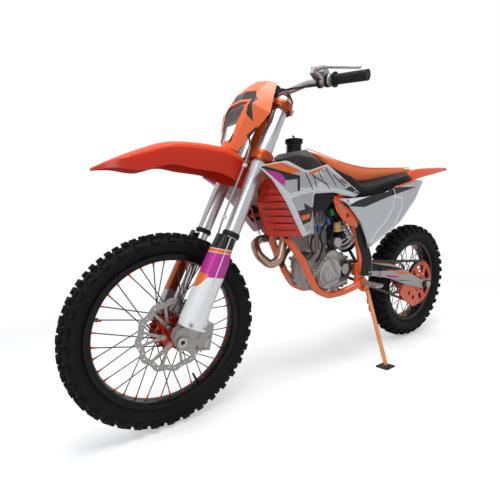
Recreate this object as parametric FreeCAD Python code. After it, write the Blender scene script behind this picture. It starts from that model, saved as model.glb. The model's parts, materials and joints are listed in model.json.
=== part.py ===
import FreeCAD, Part
import math
import os
from FreeCAD import Vector

# Motocross bike with lights, in millimetres. The bike is laid out upright first: x forwards from the
# rear axle, y to the rider's left, z up from the ground. It is then leaned onto its side stand.

# Driving dimensions
wheelbase = 1485.0
rake_deg = 26.1
fork_offset = 55.0
lean_deg = 8.0
running_gap = 0.3
joint_gap = 6.0
cut_overrun = 5.0

# Front wheel
front_radius = 348.0
front_half_width = 45.0
front_seat_radius = 262.0
front_rim_half = 25.0
front_flange_height = 13.0
front_rim_depth = 11.0
front_spool_radius = 27.0
front_spoke_flange = 58.0
front_spoke_flange_y = 33.0
front_flange_thick = 9.0
front_hub_half = 62.0
front_hub_end_radius = 22.0
front_axle_radius = 12.0
front_axle_half = 128.0
axle_head_radius = 17.0
axle_head_length = 9.0
axle_bore_radius = 7.0
front_disc_radius = 130.0
front_disc_inner = 106.0
front_disc_y = 52.0

# Rear wheel
rear_radius = 335.0
rear_half_width = 62.0
rear_seat_radius = 223.0
rear_rim_half = 34.0
rear_flange_height = 15.0
rear_rim_depth = 10.0
rear_spool_radius = 32.0
rear_spoke_flange = 62.0
rear_spoke_flange_y = 36.0
rear_flange_thick = 9.0
rear_hub_end_radius = 30.0
rear_axle_radius = 12.5
rear_axle_half = 130.0
rear_disc_radius = 110.0
rear_disc_inner = 86.0
rear_disc_y = 66.0
disc_thick = 3.5
disc_arm_width = 14.0
disc_arm_count = 6
disc_carrier_radius = 44.0
disc_wave_count = 10
disc_wave_radius = 24.0
disc_wave_depth = 4.0
rim_flange_thick = 4.0
tyre_sides = 36
tyre_wall = 10.0
spoke_radius = 1.9
spoke_count = 36
spoke_lean_deg = 38.0
spoke_stagger = 8.0
rim_spoke_y = 5.0

# Chain drive
chain_y = 80.0
chain_half_width = 8.0
chain_half_height = 8.0
chain_pitch = 15.875
sprocket_thick = 6.0
rear_sprocket_teeth = 50
front_sprocket_teeth = 13
rear_sprocket_inner = 92.0
sprocket_hub_radius = 48.0
chain_guide_thick = 9.0

# Fork
fork_half_spacing = 108.0
fork_tube_offset = 22.0
outer_tube_radius = 29.0
outer_tube_nose_radius = 27.0
inner_tube_radius = 24.0
outer_tube_low = 392.0
outer_tube_taper = 600.0
fork_length = 925.0
fork_cap_radius = 21.0
fork_cap_height = 10.0
inner_tube_low = 20.0
inner_tube_high = 520.0
clamp_thick = 34.0
fork_top_stand = 17.0
clamp_spacing = 212.0
upper_clamp_thick = 24.0
clamp_ring_radius = 40.0
clamp_bridge_back = 20.0
clamp_bridge_front = 28.0
stem_boss_radius = 32.0
stem_radius = 16.0
head_tube_radius = 30.0
lug_radius = 29.0
lug_top = 90.0
lug_inner_y = 86.0
lug_outer_y = 125.3
lug_low = -26.0
lug_front = 82.0

# Fork guards
guard_low = 54.0
guard_high = 372.0
guard_wall = 3.0
guard_reach_low = 50.0
guard_reach_high = 36.0
guard_side_low = 40.0
guard_side_high = 36.0
guard_centre_low = 36.0
guard_centre_high = 24.0
guard_start_deg = -20.0
guard_end_deg = 195.0
guard_steps = 12

# Front brake caliper
caliper_turn_deg = 168.0
caliper_length = 96.0
caliper_depth = 46.0
caliper_outer = 27.7
caliper_inner = 10.0
rear_caliper_outer = 19.7
caliper_gap = 2.5
caliper_bracket_thick = 9.0
rear_caliper_turn_deg = -15.0

# Front fender, lamp mask and headlamp
front_fender_half = 76.0
front_fender_drop = 100.0
fender_wall = 3.0
mask_wall = 4.0
mask_bulge = 20.0
mask_half = 100.0
window_top_half = 76.0
window_low_half = 34.0
mask_stay_half = 14.0
hose_radius = 3.5
cable_radius = 3.0
hose_run_count = 24
cable_run_count = 5
lamp_depth = 60.0

# Handlebar
bar_radius = 11.0
bar_bend = 60.0
bar_clamp_half = 60.0
bar_clamp_width = 26.0
bar_clamp_radius = 19.0
grip_radius = 16.5
grip_length = 118.0
grip_flange_radius = 24.0
grip_flange_thick = 5.0
bar_half_width = 398.0
lever_radius = 5.5
lever_reach = 62.0
lever_length = 150.0
perch_length = 46.0
perch_radius = 19.0
reservoir_length = 52.0
reservoir_width = 32.0
reservoir_height = 26.0
pad_half = 48.0
pad_depth = 44.0
pad_height = 30.0
instrument_half = 27.0
instrument_depth = 22.0
instrument_height = 46.0

# Frame
pivot_x = 565.0
pivot_z = 470.0
down_tube_radius = 19.0
cradle_radius = 16.0
cradle_y = 82.0
rail_radius = 14.0
rail_y = 104.0
pipe_bend = 90.0
pivot_plate_y = 102.0
pivot_plate_thick = 12.0
cross_tube_radius = 13.0
subframe_radius = 9.0
subframe_y = 98.0
subframe_tail_y = 56.0
subframe_bend = 60.0
boss_radius = 5.0
frame_guard_thick = 4.0

# Swingarm
swing_hub_radius = 27.0
swing_hub_half = 76.0
arm_width = 28.0
arm_pivot_y = 62.0
arm_wheel_y = 106.0
arm_pivot_height = 54.0
arm_mid_height = 72.0
arm_end_height = 46.0
arm_end_length = 46.0
arm_brace_width = 40.0
arm_brace_height = 46.0
arm_mid_rise = 26.0

# Engine
case_half = 62.0
cylinder_half = 62.0
head_half = 74.0
ignition_radius = 74.0
ignition_depth = 46.0
ignition_step_radius = 46.0
ignition_step_depth = 10.0
clutch_radius = 88.0
clutch_depth = 60.0
clutch_cap_radius = 60.0
clutch_cap_depth = 8.0
case_chamfer = 8.0
cover_chamfer = 9.0
cover_rib_count = 8
cover_rib_width = 7.0
cover_rib_height = 5.0
header_radius = 19.0
header_bend = 46.0
silencer_radius = 50.0
silencer_nose = 100.0

# Bodywork
tank_half_width = 92.0
tank_neck_radius = 26.0
tank_neck_height = 44.0
cap_radius = 30.0
cap_height = 16.0
shroud_wall = 4.0
shroud_front_y = 205.0
shroud_mid_y = 186.0
shroud_rear_y = 128.0
shroud_flare = 0.10
shroud_level_share = 0.674
shroud_bow = 4.0
side_panel_wall = 4.0
side_panel_front_y = 138.0
side_panel_rear_y = 150.0
side_panel_flare = 0.06
side_panel_level_share = 0.600
side_panel_bow = 6.0
seat_half_width = 82.0
airbox_half = 88.7
radiator_thick = 34.0
radiator_in_y = 42.0
radiator_out_y = 150.0
guard_plate_wall = 4.0
guard_plate_gap = 4.0
guard_sweep = 78.0
louvre_count = 7
louvre_height = 9.0
louvre_in_y = 42.0
louvre_out_y = 134.0
fender_rear_half = 92.0
tail_lamp_share = -1.500
tail_lamp_half = 22.0
tail_lamp_length = 26.0
tail_lamp_height = 9.0

# Shock absorber
shock_body_radius = 24.0
shock_rod_radius = 8.0
spring_radius = 42.0
spring_wire = 6.5
spring_turns = 7
spring_seat_thick = 5.0
shock_pin_radius = 9.0
shock_eye_wall = 7.0
shock_eye_half = 15.0
shock_top_shares = (0.215, 0.567)
shock_low_shares = (-0.200, 0.000)

# Footpegs, levers and stand
peg_length = 92.0
peg_half_width = 26.0
peg_thick = 14.0
peg_in_y = 123.0
foot_lever_radius = 6.0
stand_top_x = 524.0
stand_top_z = 380.0
stand_bracket_y = 90.0
stand_bracket_thick = 8.0
stand_foot_y = 236.0
stand_foot_x = 534.0
stand_radius = 9.5
stand_pin_radius = 7.0
stand_boss_radius = 17.0
stand_boss_thick = 12.0
stand_foot_half = 30.0
stand_foot_thick = 7.0

rake = math.radians(rake_deg)
fork_up = Vector(-math.sin(rake), 0, math.cos(rake))
fork_forward = Vector(math.cos(rake), 0, math.sin(rake))
side = Vector(0, 1, 0)
upright = Vector(0, 0, 1)
rear_axle = Vector(0, 0, rear_radius)
front_axle = Vector(wheelbase, 0, front_radius)
steering_foot = front_axle - fork_forward * fork_offset
front_flange_radius = front_seat_radius + front_flange_height
front_rim_inner = front_seat_radius - front_rim_depth
rear_flange_radius = rear_seat_radius + rear_flange_height
rear_rim_inner = rear_seat_radius - rear_rim_depth
upper_clamp_low = fork_length - fork_top_stand - upper_clamp_thick
lower_clamp_low = upper_clamp_low - clamp_spacing
head_low = lower_clamp_low + clamp_thick + joint_gap
head_high = upper_clamp_low - joint_gap
trunk_head = steering_foot + fork_up * head_low
pivot = Vector(pivot_x, 0, pivot_z)
stand_top = Vector(stand_top_x,
                   stand_bracket_y + stand_bracket_thick + running_gap + stand_boss_thick / 2, stand_top_z)


def on_fork(up, forward, left=0.0):
    """A point by its height along the steering axis, its distance ahead of it and to the left."""
    return steering_foot + fork_up * up + fork_forward * forward + side * left


def on_fork_share(up_share, forward_share, left=0.0):
    """A point on the fork, in shares of the fork's length."""
    return on_fork(up_share * fork_length, forward_share * fork_length, left)


def on_trunk(x_share, z_share, left=0.0):
    """A point between the swingarm pivot (0, 0) and the foot of the steering head (1, 1)."""
    reach = trunk_head - pivot
    return Vector(pivot.x + x_share * reach.x, left, pivot.z + z_share * reach.z)


def mirrored(shape):
    return shape.mirror(Vector(0, 0, 0), side)


def polygon(points):
    return Part.makePolygon(points + [points[0]])


def loft(sections, smooth=True):
    """A solid through closed sections that have the same number of corners."""
    return Part.makeLoft([polygon(section) for section in sections], True, not smooth)


def rod(start, end, radius):
    run = end - start
    return Part.makeCylinder(radius, run.Length, start, run)


def lathe(profile, centre):
    """Revolves (y, radius) corners about the axle line through centre."""
    face = Part.Face(polygon([centre + Vector(0, y, radius) for y, radius in profile]))
    return face.revolve(centre, side, 360)


def bent_path(points, bend):
    """Straight runs joined by tangent arcs, each as large as bend and its two runs allow."""
    edges = []
    start = points[0]
    for before, corner, after in zip(points, points[1:], points[2:]):
        back = (before - corner).normalize()
        ahead = (after - corner).normalize()
        turn = math.pi - back.getAngle(ahead)
        shorter = min((before - corner).Length, (after - corner).Length)
        tangent = min(bend * math.tan(turn / 2), 0.45 * shorter)
        radius = tangent / math.tan(turn / 2)
        middle = (back + ahead).normalize() * (radius / math.cos(turn / 2) - radius)
        entry = corner + back * tangent
        leave = corner + ahead * tangent
        edges.append(Part.LineSegment(start, entry).toShape())
        edges.append(Part.Arc(entry, corner + middle, leave).toShape())
        start = leave
    edges.append(Part.LineSegment(start, points[-1]).toShape())
    return Part.Wire(edges)


def pipe(points, radius, bend):
    """A round bar or closed tube along bent runs."""
    ring = Part.Wire(Part.Circle(points[0], points[1] - points[0], radius).toShape())
    return bent_path(points, bend).makePipeShell([ring], True, False)


def side_plate(shares, place, low_y, thick):
    """An outline seen from the side, extruded to the left from low_y."""
    face = Part.Face(polygon([place(a, b, low_y) for a, b in shares]))
    return face.extrude(side * thick)


def fused(shapes):
    whole = shapes[0].multiFuse(shapes[1:])
    return whole.removeSplitter()


def free_run(shape, start, direction):
    """How far a line from start runs along direction before it is a running gap from shape."""
    line = Part.LineSegment(start, start + direction * wheelbase).toShape()
    hits = line.common(shape).Vertexes
    return min((vertex.Point - start).dot(direction) for vertex in hits) - running_gap


def side_boss(start, cover):
    """A round stand-off from start out to the inner face of a cover."""
    rim = [start + offset * boss_radius for offset in (upright, -upright, Vector(1, 0, 0), Vector(-1, 0, 0))]
    return rod(start, start + side * min(free_run(cover, point, side) for point in rim), boss_radius)


def both_sides(shape):
    return [shape, mirrored(shape)]


# Wheels
# Rings of a tyre's left half, from the rim to the crown, in shares of its half width and height.
wall_shares = [(0.90, 0.34), (0.97, 0.56)]
tread_shares = [(0.84, 0.70), (0.56, 0.80), (0.34, 0.845)]
tip_shares = [(1.0, 0.76), (0.70, 0.93), (0.30, 1.0)]
lining_shares = [(0.68, 0.62), (0.50, 0.68)]


def side_point(centre, ring, turn):
    """A point of a flat-sided ring (y, radius): turn counts its sides, whole numbers are corners."""
    y, radius = ring
    corners = []
    for corner in (math.floor(turn), math.floor(turn) + 1):
        angle = math.tau * (corner + 0.5) / tyre_sides
        corners.append(centre + Vector(radius * math.sin(angle), y, radius * math.cos(angle)))
    return corners[0] + (corners[1] - corners[0]) * (turn - math.floor(turn))


def band(centre, first, second, first_turns, second_turns):
    """A flat face between two rings."""
    points = [side_point(centre, first, turn) for turn in first_turns]
    return Part.Face(polygon(points + [side_point(centre, second, turn) for turn in reversed(second_turns)]))


def lug(centre, base, tips, start):
    """The top and the four sides of a lug that takes half of one side of the tyre."""
    turns = [start, start + 0.5]
    faces = [band(centre, *tips, turns, turns)]
    faces += [band(centre, foot, tip, turns, turns) for foot, tip in zip(base, tips)]
    for turn in turns:
        faces.append(Part.Face(polygon([side_point(centre, ring, turn) for ring in (*base,
                                                                                    *reversed(tips))])))
    return faces


def tyre(centre, outer, seat, half, rim_half, flange):
    """A hollow knobby tyre of flat sides, its feet seated between the rim flanges."""
    height = outer - seat
    foot = rim_half - rim_flange_thick - running_gap
    corner = 1 / math.cos(math.pi / tyre_sides)

    def sized(shares):
        return [(half * a, seat + height * b) for a, b in shares]

    def both_hands(left):
        return left + [(-y, radius) for y, radius in reversed(left)]

    bead = [(foot, seat * corner), (foot, (flange + running_gap) * corner)]
    skin = both_hands(bead + sized(wall_shares) + sized(tread_shares))
    lining = both_hands([(foot - tyre_wall, seat * corner)] + sized(lining_shares))
    tips = both_hands(sized(tip_shares))
    rings = skin + lining[::-1]
    first = len(bead + wall_shares)
    lug_starts = {first: 0, first + 2: 0.5, first + 4: 0}
    faces = []
    for index in range(tyre_sides):
        whole = [index, index + 1]
        halved = [index, index + 0.5, index + 1]
        for strip, ring in enumerate(rings):
            following = rings[(strip + 1) % len(rings)]
            if strip in lug_starts:
                start = index + lug_starts[strip]
                plain = [index + 0.5 - lug_starts[strip], index + 1 - lug_starts[strip]]
                faces.append(band(centre, ring, following, plain, plain))
                faces += lug(centre, (ring, following), tips[strip - first:strip - first + 2], start)
                continue
            turns = [halved if first <= place < first + len(tips) else whole for place in (strip, strip + 1)]
            faces.append(band(centre, ring, following, *turns))
    shell = Part.makeShell(faces)
    shell.sewShape()
    return Part.makeSolid(shell)


def rim(centre, half, flange, seat, inner):
    floor = seat - running_gap
    step = rim_flange_thick
    left = [(half, inner + step), (half, flange), (half - step, flange), (half - step, floor)]
    right = [(-y, radius) for y, radius in reversed(left)]
    return lathe(left + right + [(-half / 2, inner), (half / 2, inner)], centre)


def hub(centre, half, end_radius, spool, flange, flange_y, flange_thick, bore, left_face, right_face):
    """A turned hub: end stubs, two spoke flanges, a waisted spool and the axle's bore."""
    outline = [
        (-half, bore), (-half, end_radius), (-right_face, end_radius), (-right_face, disc_carrier_radius),
        (-flange_y, flange), (-flange_y + flange_thick / 2, flange), (-flange_y / 2, spool),
        (flange_y / 2, spool), (flange_y - flange_thick / 2, flange), (flange_y, flange),
        (left_face, disc_carrier_radius), (left_face, end_radius), (half, end_radius), (half, bore),
    ]
    return lathe(outline, centre)


def spokes(centre, flange, flange_y, flange_thick, inner):
    """Crossed spokes: each leaves its flange at a slant, half of them the other way."""
    made = []
    for index in range(spoke_count):
        hand = 1 if index % 2 else -1
        slant = 1 if index % 4 < 2 else -1
        rim_angle = math.radians(360.0 * index / spoke_count)
        hub_angle = rim_angle + slant * math.radians(spoke_lean_deg)
        level = flange_y - flange_thick / 2 + slant * spoke_stagger / 2
        near = flange + running_gap + spoke_radius / 2
        far = inner - running_gap
        start = centre + Vector(near * math.sin(hub_angle), hand * level, near * math.cos(hub_angle))
        foot = hand * (rim_spoke_y + slant * spoke_stagger / 4)
        end = centre + Vector(far * math.sin(rim_angle), foot, far * math.cos(rim_angle))
        made.append(rod(start, end, spoke_radius))
    return Part.makeCompound(made)


def brake_disc(centre, y, radius, inner, bore, hand):
    """A ring on arms, screwed to the hub's face."""
    middle = Vector(centre.x, y, centre.z)
    across = side * (hand * disc_thick)
    ring = Part.makeCylinder(radius, disc_thick, middle, across)
    ring = ring.cut(Part.makeCylinder(inner, disc_thick, middle, across))
    carrier = Part.makeCylinder(disc_carrier_radius, disc_thick, middle, across)
    pieces = [ring, carrier]
    for index in range(disc_arm_count):
        angle = 360.0 * index / disc_arm_count
        arm = Part.makeBox(inner + cut_overrun - bore, disc_arm_width, disc_thick)
        arm.translate(Vector(bore, -disc_arm_width / 2, 0))
        arm.rotate(Vector(0, 0, 0), upright, angle)
        arm.rotate(Vector(0, 0, 0), Vector(1, 0, 0), -90 * hand)
        arm.translate(middle)
        pieces.append(arm)
    whole = fused(pieces)
    scallop_reach = radius + disc_wave_radius - disc_wave_depth
    for index in range(disc_wave_count):
        angle = math.tau * index / disc_wave_count
        hollow = middle + Vector(math.sin(angle), 0, math.cos(angle)) * scallop_reach
        whole = whole.cut(Part.makeCylinder(disc_wave_radius, disc_thick, hollow, across))
    return whole.cut(Part.makeCylinder(bore, disc_thick, middle, across))


def pitch_radius(teeth):
    return chain_pitch / 2 / math.sin(math.pi / teeth)


rear_pitch_radius = pitch_radius(rear_sprocket_teeth)
front_pitch_radius = pitch_radius(front_sprocket_teeth)
drive_centre = on_trunk(0.150, 0.035, chain_y)
driven_centre = Vector(rear_axle.x, chain_y, rear_axle.z)


def rear_sprocket():
    low = driven_centre - side * (sprocket_thick / 2)
    outer = rear_pitch_radius - chain_half_height - running_gap
    plate = Part.makeCylinder(outer, sprocket_thick, low, side)
    plate = plate.cut(Part.makeCylinder(rear_sprocket_inner, sprocket_thick, low, side))
    carrier = Part.makeCylinder(sprocket_hub_radius, sprocket_thick, low, side)
    pieces = [plate, carrier]
    for index in range(disc_arm_count):
        arm = Part.makeBox(rear_sprocket_inner + cut_overrun, disc_arm_width, sprocket_thick)
        arm.translate(Vector(0, -disc_arm_width / 2, 0))
        arm.rotate(Vector(0, 0, 0), upright, 360.0 * index / disc_arm_count)
        arm.rotate(Vector(0, 0, 0), Vector(1, 0, 0), -90)
        arm.translate(low)
        pieces.append(arm)
    bore = Part.makeCylinder(rear_hub_end_radius + running_gap, sprocket_thick, low, side)
    return fused(pieces).cut(bore)


def chain_loop(grow):
    """The belt-like outline of the chain round both sprockets, grown by grow."""
    reach = driven_centre - drive_centre
    span = reach.Length
    line = Vector(reach).normalize()
    across = Vector(-line.z, 0, line.x)
    big = rear_pitch_radius + grow
    small = front_pitch_radius + grow
    slope = math.asin((big - small) / span)

    def touch(centre, radius, hand):
        return centre + (across * (hand * math.cos(slope)) - line * math.sin(slope)) * radius

    top_front = touch(drive_centre, small, 1)
    top_rear = touch(driven_centre, big, 1)
    low_rear = touch(driven_centre, big, -1)
    low_front = touch(drive_centre, small, -1)
    edges = [
        Part.LineSegment(top_front, top_rear).toShape(),
        Part.Arc(top_rear, driven_centre + line * big, low_rear).toShape(),
        Part.LineSegment(low_rear, low_front).toShape(),
        Part.Arc(low_front, drive_centre - line * small, top_front).toShape(),
    ]
    return Part.Face(Part.Wire(edges))


def chain():
    outer = chain_loop(chain_half_height)
    inner = chain_loop(-chain_half_height)
    band = outer.cut(inner)
    band.translate(-side * chain_half_width)
    return band.extrude(side * (2 * chain_half_width))


def drive_sprocket():
    low = drive_centre - side * (sprocket_thick / 2)
    outer = front_pitch_radius - chain_half_height - running_gap
    disc = Part.makeCylinder(outer, sprocket_thick, low, side)
    shaft_start = Vector(drive_centre.x, case_half, drive_centre.z)
    shaft = Part.makeCylinder(outer / 2, drive_centre.y + sprocket_thick - case_half, shaft_start, side)
    return fused([disc, shaft])


# Fork body
def on_side(up, forward, hand):
    return on_fork(up, forward, hand * fork_half_spacing)


def fork_tube():
    """An upper fork tube: tapered outside, bored for the sliding leg."""
    low = on_side(outer_tube_low, fork_tube_offset, 1)
    taper = outer_tube_taper - outer_tube_low
    nose = Part.makeCone(outer_tube_nose_radius, outer_tube_radius, taper, low, fork_up)
    start = on_side(outer_tube_taper, fork_tube_offset, 1)
    body = Part.makeCylinder(outer_tube_radius, fork_length - outer_tube_taper, start, fork_up)
    top = on_side(fork_length, fork_tube_offset, 1)
    cap = Part.makeCylinder(fork_cap_radius, fork_cap_height, top, fork_up)
    depth = inner_tube_high + joint_gap - outer_tube_low
    bore = Part.makeCylinder(inner_tube_radius + running_gap, depth, low, fork_up)
    return fused([nose, body, cap]).cut(bore)


def fork_leg(caliper_side):
    """A sliding leg with the cast lug that holds the axle."""
    start = on_side(inner_tube_low, fork_tube_offset, 1)
    tube = Part.makeCylinder(inner_tube_radius, inner_tube_high - inner_tube_low, start, fork_up)
    sleeve = Part.makeCylinder(lug_radius, lug_top - inner_tube_low, start, fork_up)
    lug_half = lug_radius * 0.92
    corners = [(lug_low, lug_front - lug_radius), (lug_low, 0), (lug_radius, fork_tube_offset - lug_half),
               (lug_top * 0.8, fork_tube_offset - lug_half), (lug_top * 0.8, fork_tube_offset + lug_half),
               (-lug_low, lug_front), (0, lug_front)]
    face = Part.Face(polygon([on_fork(up, ahead, lug_inner_y) for up, ahead in corners]))
    lug = face.extrude(side * (lug_outer_y - lug_inner_y))
    bore_start = Vector(front_axle.x, lug_inner_y - cut_overrun, front_axle.z)
    bore_length = lug_outer_y - lug_inner_y + 2 * cut_overrun
    bore = Part.makeCylinder(front_axle_radius + running_gap, bore_length, bore_start, side)
    whole = fused([tube, sleeve, lug]).cut(bore)
    if not caliper_side:
        return whole
    front = lug_radius / 4
    corners = [(-lug_radius / 2, front), (lug_top * 0.75, front), (lug_top * 0.85, -lug_radius * 1.6),
               (0, -lug_radius * 1.8)]
    face = Part.Face(polygon([on_fork(up, ahead, lug_inner_y) for up, ahead in corners]))
    bracket = face.extrude(side * caliper_bracket_thick)
    return fused([whole, bracket.cut(bore)])


def guard_section(up_share, wall):
    """One C-shaped section of the fork guard, open towards the wheel."""
    reach = guard_reach_low + (guard_reach_high - guard_reach_low) * up_share - wall
    flank = guard_side_low + (guard_side_high - guard_side_low) * up_share - wall
    middle = guard_centre_low + (guard_centre_high - guard_centre_low) * up_share
    up = guard_low + (guard_high - guard_low) * up_share
    points = []
    for step in range(guard_steps + 1):
        angle = math.radians(guard_start_deg + (guard_end_deg - guard_start_deg) * step / guard_steps)
        left = fork_half_spacing + flank * math.sin(angle)
        points.append(on_fork(up, middle + reach * math.cos(angle), left))
    return points


def fork_guard():
    levels = [0, 0.35, 0.7, 1]
    return loft([guard_section(level, 0) + guard_section(level, guard_wall)[::-1] for level in levels], False)


def clamp_plate(low, thick):
    """One triple clamp: two split rings and the bridge across the stem."""
    rings = []
    for hand in (1, -1):
        rings.append(Part.makeCylinder(clamp_ring_radius, thick, on_side(low, fork_tube_offset, hand),
                                       fork_up))
    boss = Part.makeCylinder(stem_boss_radius, thick, on_fork(low, 0), fork_up)
    corners = [(-clamp_bridge_back, fork_half_spacing * 0.5), (0, fork_half_spacing),
               (clamp_bridge_front, fork_half_spacing), (clamp_bridge_front, -fork_half_spacing),
               (0, -fork_half_spacing), (-clamp_bridge_back, -fork_half_spacing * 0.5)]
    bridge = Part.Face(polygon([on_fork(low, ahead, left) for ahead, left in corners]))
    return fused(rings + [boss, bridge.extrude(fork_up * thick)])


def triple_clamps():
    lower = clamp_plate(lower_clamp_low, clamp_thick)
    upper = clamp_plate(upper_clamp_low, upper_clamp_thick)
    stem_length = upper_clamp_low + upper_clamp_thick - lower_clamp_low
    stem = Part.makeCylinder(stem_radius, stem_length, on_fork(lower_clamp_low, 0), fork_up)
    stay_start = on_fork(upper_clamp_low + mask_wall, clamp_bridge_front / 2)
    stay_length = free_run(lamp_mask(), stay_start + fork_up * mask_wall, fork_forward)
    corners = [(0, -mask_stay_half), (stay_length, -mask_stay_half), (stay_length, mask_stay_half),
               (0, mask_stay_half)]
    stay = Part.Face(polygon([stay_start + fork_forward * ahead + side * left for ahead, left in corners]))
    whole = fused([lower, upper, stem, stay.extrude(fork_up * mask_wall)])
    for hand in (1, -1):
        start = on_side(lower_clamp_low - cut_overrun, fork_tube_offset, hand)
        bore = Part.makeCylinder(outer_tube_radius + running_gap, stem_length + 2 * cut_overrun, start,
                                 fork_up)
        whole = whole.cut(bore)
    return whole


def axle_shaft(centre, radius, half):
    """A hollow axle with a head on its left end."""
    start = centre - side * half
    end = centre + side * half
    head_end = end + side * axle_head_length
    return fused([rod(start, end, radius), rod(end, head_end, axle_head_radius)]).cut(rod(start,
                                                                                          head_end,
                                                                                          axle_bore_radius))


# Each section is (height share, forward share, half width share, edge drop share) of the fender.
front_fender_shares = [
    (0.7258, -0.020, 0.72, 0.70), (0.7258, 0.033, 0.79, 0.80), (0.742, 0.110, 0.87, 1.15),
    (0.717, 0.188, 0.95, 1.00),
    (0.6705, 0.2856, 1.00, 0.91), (0.6238, 0.359, 1.00, 0.74), (0.5585, 0.4234, 0.89, 0.67),
    (0.4865, 0.4844, 0.59, 0.28),
    (0.428, 0.528, 0.08, 0.05),
]


def front_fender():
    sections = []
    for up, ahead, width, drop in front_fender_shares:
        top = on_fork_share(up, ahead)
        half = width * front_fender_half
        fall = drop * front_fender_drop
        outer = [(-1, 1.0), (-0.92, 0.25), (-0.55, 0.06), (0, 0), (0.55, 0.06), (0.92, 0.25), (1, 1.0)]
        skin = [top + Vector(0, half * a, -fall * b) for a, b in outer]
        inset = 1 - fender_wall / half
        lining = [top + Vector(0, half * a * inset, -fall * b - fender_wall) for a, b in outer[1:-1]]
        lower_left = top + Vector(0, half * inset, -fall)
        lower_right = top + Vector(0, -half * inset, -fall)
        sections.append(skin + [lower_left] + lining[::-1] + [lower_right])
    return loft(sections)


# Each level has shares of the fork for its height, front edge and rear edge, and a share of the half width.
mask_level_shares = [
    (1.045, 0.104, 0.080, 1.04), (0.985, 0.132, 0.080, 1.16), (0.905, 0.144, 0.075, 1.32),
    (0.835, 0.140, 0.085, 0.96), (0.740, 0.118, 0.096, 0.46),
]
window_top_share = 0.920
window_low_share = 0.765
lamp_front_share = 0.1425


def mask_band(level, shrink):
    up, front, rear, wide = level
    half = wide * mask_half - shrink
    ahead = front * fork_length - shrink
    back = rear * fork_length
    height = up * fork_length
    return [on_fork(height, back, half), on_fork(height, ahead, half * 0.80),
            on_fork(height, ahead + mask_bulge, half * 0.30),
            on_fork(height, ahead + mask_bulge, -half * 0.30),
            on_fork(height, ahead, -half * 0.80), on_fork(height, back, -half)]


def lamp_prism(grow, back, front):
    """The lamp opening's outline, drawn through the mask from back to front."""
    corners = [(window_top_share, window_top_half), (window_low_share, window_low_half),
               (window_low_share, -window_low_half), (window_top_share, -window_top_half)]
    points = []
    for up, half in corners:
        rise = grow if up == window_top_share else -grow
        points.append(on_fork(up * fork_length + rise, back, half + grow * half / abs(half)))
    return Part.Face(polygon(points)).extrude(fork_forward * (front - back))


def lamp_mask():
    shell = loft([mask_band(level, 0) + mask_band(level,
                                                  mask_wall)[::-1] for level in mask_level_shares], False)
    return shell.cut(lamp_prism(0, 0, fork_length / 3))


def headlamp():
    """The lamp unit that fills the mask's opening from behind."""
    front = lamp_front_share * fork_length
    return lamp_prism(-2 * running_gap, front - lamp_depth, front)


bar_shares = [(1.035, 0.030, 0.0), (1.035, 0.030, 0.17), (1.066, 0.004, 0.47), (1.060, -0.055, 1.0)]


def bar_points(low=0):
    return [on_fork_share(up, ahead, left * bar_half_width) for up, ahead, left in bar_shares[low:]]


def handlebar():
    half = bar_points(1)
    across = [Vector(point.x, -point.y, point.z) for point in reversed(half)] + half
    return pipe(across, bar_radius, bar_bend)


def bar_end_line():
    inner, outer = bar_points(2)
    return outer, (inner - outer).normalize()


def grip():
    end, inward = bar_end_line()
    start = end - inward * (bar_radius / 2)
    body = Part.makeCylinder(grip_radius, grip_length, start, inward)
    flange_start = start + inward * (grip_length - grip_flange_thick)
    flange = Part.makeCylinder(grip_flange_radius, grip_flange_thick, flange_start, inward)
    bore = Part.makeCylinder(bar_radius + running_gap, grip_length, end - inward * running_gap, inward)
    return fused([body, flange]).cut(bore)


def bar_mount():
    """Two clamps that stand on the upper triple clamp and hold the handlebar."""
    pieces = []
    top = upper_clamp_low + upper_clamp_thick
    bar = on_fork_share(*bar_shares[0])
    bar_up = bar_shares[0][0] * fork_length
    bar_forward = bar_shares[0][1] * fork_length
    for hand in (1, -1):
        left = hand * bar_clamp_half * 0.7 - bar_clamp_width / 2
        ring = Part.makeCylinder(bar_clamp_radius, bar_clamp_width, Vector(bar.x, left, bar.z), side)
        corners = [(top, bar_forward - bar_clamp_radius), (top, bar_forward + bar_clamp_radius * 0.4),
                   (bar_up, bar_forward + bar_clamp_radius * 0.9),
                   (bar_up, bar_forward - bar_clamp_radius * 0.9)]
        post = Part.Face(polygon([on_fork(up, ahead, left) for up, ahead in corners]))
        pieces.append(fused([ring, post.extrude(side * bar_clamp_width)]))
    bore_start = Vector(bar.x, -bar_clamp_half - cut_overrun, bar.z)
    bore = Part.makeCylinder(bar_radius + running_gap, 2 * (bar_clamp_half + cut_overrun), bore_start, side)
    return Part.makeCompound([piece.cut(bore) for piece in pieces])


def bar_pad():
    """Foam pad over the clamps."""
    top = bar_shares[0][0] * fork_length + bar_clamp_radius + running_gap
    ahead = bar_shares[0][1] * fork_length
    corners = [(top, ahead + pad_depth / 2), (top + pad_height, ahead + pad_depth / 3),
               (top + pad_height, ahead - pad_depth / 3), (top, ahead - pad_depth / 2)]
    face = Part.Face(polygon([on_fork(up, forward, -pad_half) for up, forward in corners]))
    return face.extrude(side * (2 * pad_half))


def instrument():
    """Small display behind the lamp mask, standing on the upper clamp."""
    base = upper_clamp_low + upper_clamp_thick
    back = 0.070 * fork_length
    corners = [(base, back - instrument_depth * 1.5), (base, back), (base + instrument_height, back),
               (base + instrument_height, back - instrument_depth)]
    face = Part.Face(polygon([on_fork(up, forward, -instrument_half) for up, forward in corners]))
    return face.extrude(side * (2 * instrument_half))


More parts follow.
